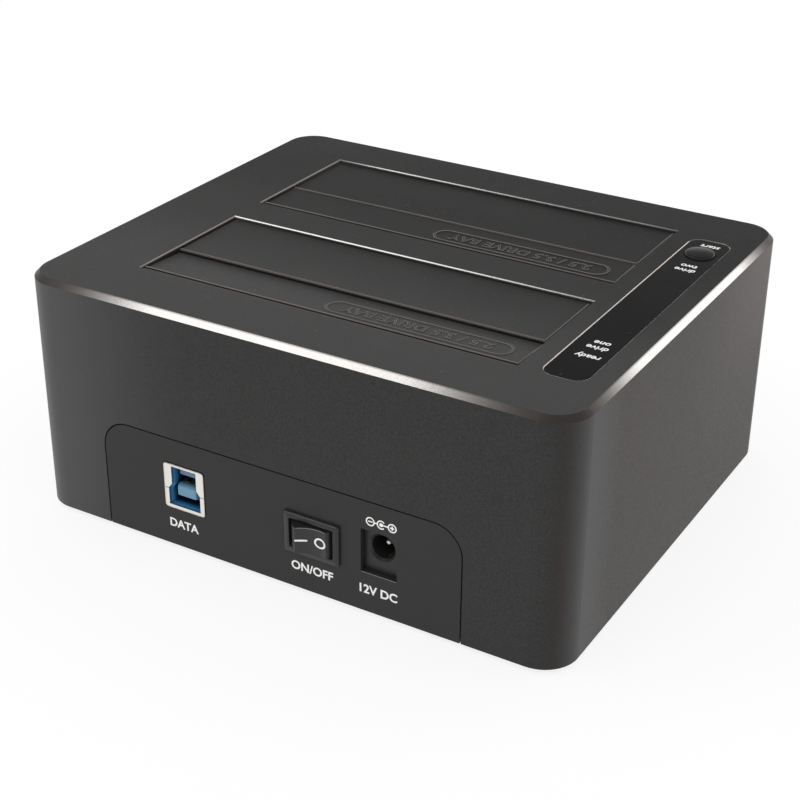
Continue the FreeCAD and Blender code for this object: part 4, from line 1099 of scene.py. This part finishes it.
copyButton = {
    "atY": -35.7, "radius": 3.9, "domeShare": 0.86, "domeDrop": 0.32, "domeSteps": 8,
    "shoulder": ((0.93, 0.42), (0.98, 0.62), (1.0, 0.9)),                         # share of the radius, drop
    "skirt": 61.2, "flange": (0.25, 60.9), "stem": 1.5, "stemZ": (60.8, 60.4),
}


def makeStripTrim():
    d = stripTrim
    sections = []
    for grow, up in d["section"]:
        outline = roundedOutline(*d["middle"], d["width"] + 2 * grow, d["length"] + 2 * grow,
                                 d["radius"] + grow, 12)
        sections.append((outline, roofZ / mm + up))
    bm = skinRows(sections)[0]
    addPiece("stripTrim", [finishMesh(bm, Matrix.Translation((0, middleY, 0)))], "trim_bright")


def makeButton():
    d = copyButton
    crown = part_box("copy_button")[1].z / mm
    r, steps = d["radius"], d["domeSteps"]
    wider, flangeZ = d["flange"]
    profile = [(r * d["domeShare"] * k / steps, crown - d["domeDrop"] * (k / steps) ** 2)
               for k in range(steps + 1)]
    profile += [(r * share, crown - drop) for share, drop in d["shoulder"]]
    profile += [(r, d["skirt"]), (r + wider, flangeZ)] + [(d["stem"], z) for z in d["stemZ"]]
    mesh = latheMesh(profile, stripTrim["middle"][0], d["atY"], 64, Matrix.Translation((0, middleY, 0)))
    addPiece("copyButton", [mesh], "button_plastic", "copy_button_body", ["copy_button"], 60)


makeStripTrim()
makeButton()
print("strip made")


# floor, light and camera

studio = {
    "floorSize": 12.0,
    "floorGap": 0.00005,
    "floorColours": ((0.86, 0.86, 0.86, 1), (0.84, 0.84, 0.84, 1)),
    "floorShadow": 0.27,       # share of the floor's white that light and shadow can change
    "glow": 1.13,
    "worldDiffuse": 0.78,
    "overhead": 0.20,          # what reflections see of the sky above the ceiling heights
    "ceiling": (0.05, 0.42),
    "lightTarget": (0, 0, 0.045),
    "lens": 74.9,
    "cameraAt": (-0.1972, 0.3426, 0.2305),
    "cameraForward": (0.448, -0.7631, -0.4658),
    "cameraRight": (-0.8624, -0.5062, 0.0),
    "cameraRoll": 0.45,
}

# direction from the target, distance, width, depth, power
softboxes = {
    "rearPanel": ((0.52, 0.44, 0.73), 1.2, 0.42, 0.42, 0.7),
    "sidePanel": ((-0.41, -0.86, 0.30), 1.4, 0.5, 0.4, 0.7),
}


def makeFloor():
    bm = bmesh.new()
    bmesh.ops.create_grid(bm, x_segments=8, y_segments=8, size=studio["floorSize"] / 2)
    floor = addObject("floor", toMesh(bm, "floor"))
    floor.location.z = cadLow.z - studio["floorGap"]
    material = bpy.data.materials.new("paleFloor")
    material.use_nodes = True
    tree = material.node_tree
    tree.nodes.clear()
    path = addNode(tree, "LightPath").outputs
    indirect = maths(tree, "MAXIMUM", path["Is Glossy Ray"], path["Is Transmission Ray"])
    seen = maths(tree, "MAXIMUM", path["Is Camera Ray"], indirect)
    colour = mixColours(tree, noise(tree, coords(tree), 30.0, 3.0), *studio["floorColours"])
    lit = addNode(tree, "BsdfDiffuse", {"Color": colour})
    glow = addNode(tree, "Emission", {"Color": (1, 1, 1, 1), "Strength": studio["glow"]})
    share = times(tree, seen, 1.0 - studio["floorShadow"])
    mixed = addNode(tree, "MixShader", {0: share, 1: lit.outputs[0], 2: glow.outputs[0]})
    addNode(tree, "OutputMaterial", {0: mixed.outputs[0]})
    floor.data.materials.append(material)


def makeWorld():
    # white to the camera, dimmer overhead to reflections, and an even grey to everything else
    world = bpy.data.worlds.new("studio")
    bpy.context.scene.world = world
    world.use_nodes = True
    tree = world.node_tree
    tree.nodes.clear()

    def sky(strength):
        return addNode(tree, "Background", {"Color": (1, 1, 1, 1), "Strength": strength}).outputs[0]

    path = addNode(tree, "LightPath").outputs
    height = split(tree, coords(tree, "Generated"))[2]
    ceiling = remap(tree, height, *studio["ceiling"], 1.0, studio["overhead"])
    seen = maths(tree, "MAXIMUM", path["Is Glossy Ray"], path["Is Transmission Ray"])
    reflected = {0: seen, 1: sky(studio["worldDiffuse"]), 2: sky(ceiling)}
    first = addNode(tree, "MixShader", reflected).outputs[0]
    final = addNode(tree, "MixShader", {0: path["Is Camera Ray"], 1: first, 2: sky(1.0)}).outputs[0]
    addNode(tree, "OutputWorld", {0: final})


def softbox(name, direction, distance, width, depth, power):
    target = Vector(studio["lightTarget"])
    lamp = bpy.data.lights.new(name, "AREA")
    lamp.shape = "RECTANGLE"
    lamp.size = width
    lamp.size_y = depth
    lamp.energy = power
    box = addObject(name, lamp)
    box.location = target + Vector(direction).normalized() * distance
    box.rotation_mode = "QUATERNION"
    box.rotation_quaternion = (target - box.location).to_track_quat("-Z", "Y")


def makeCamera():
    camera = bpy.data.cameras.new("camera")
    camera.lens = studio["lens"]
    camera.sensor_width = 36.0
    camera.clip_start = 0.01
    view = addObject("camera", camera)
    forward = Vector(studio["cameraForward"]).normalized()
    flat = Vector(studio["cameraRight"]).normalized()
    up = flat.cross(forward)
    roll = math.radians(studio["cameraRoll"])
    right = flat * math.cos(roll) + up * math.sin(roll)
    up = right.cross(forward)
    turn = Matrix((right, up, -forward)).transposed().to_4x4()
    view.matrix_world = Matrix.Translation(Vector(studio["cameraAt"]) + Vector((0, middleY, 0))) @ turn
    bpy.context.scene.camera = view


makeFloor()
makeWorld()
for name, settings in softboxes.items():
    softbox(name, *settings)
makeCamera()
bpy.context.scene.view_settings.view_transform = "Standard"
print("stage set")
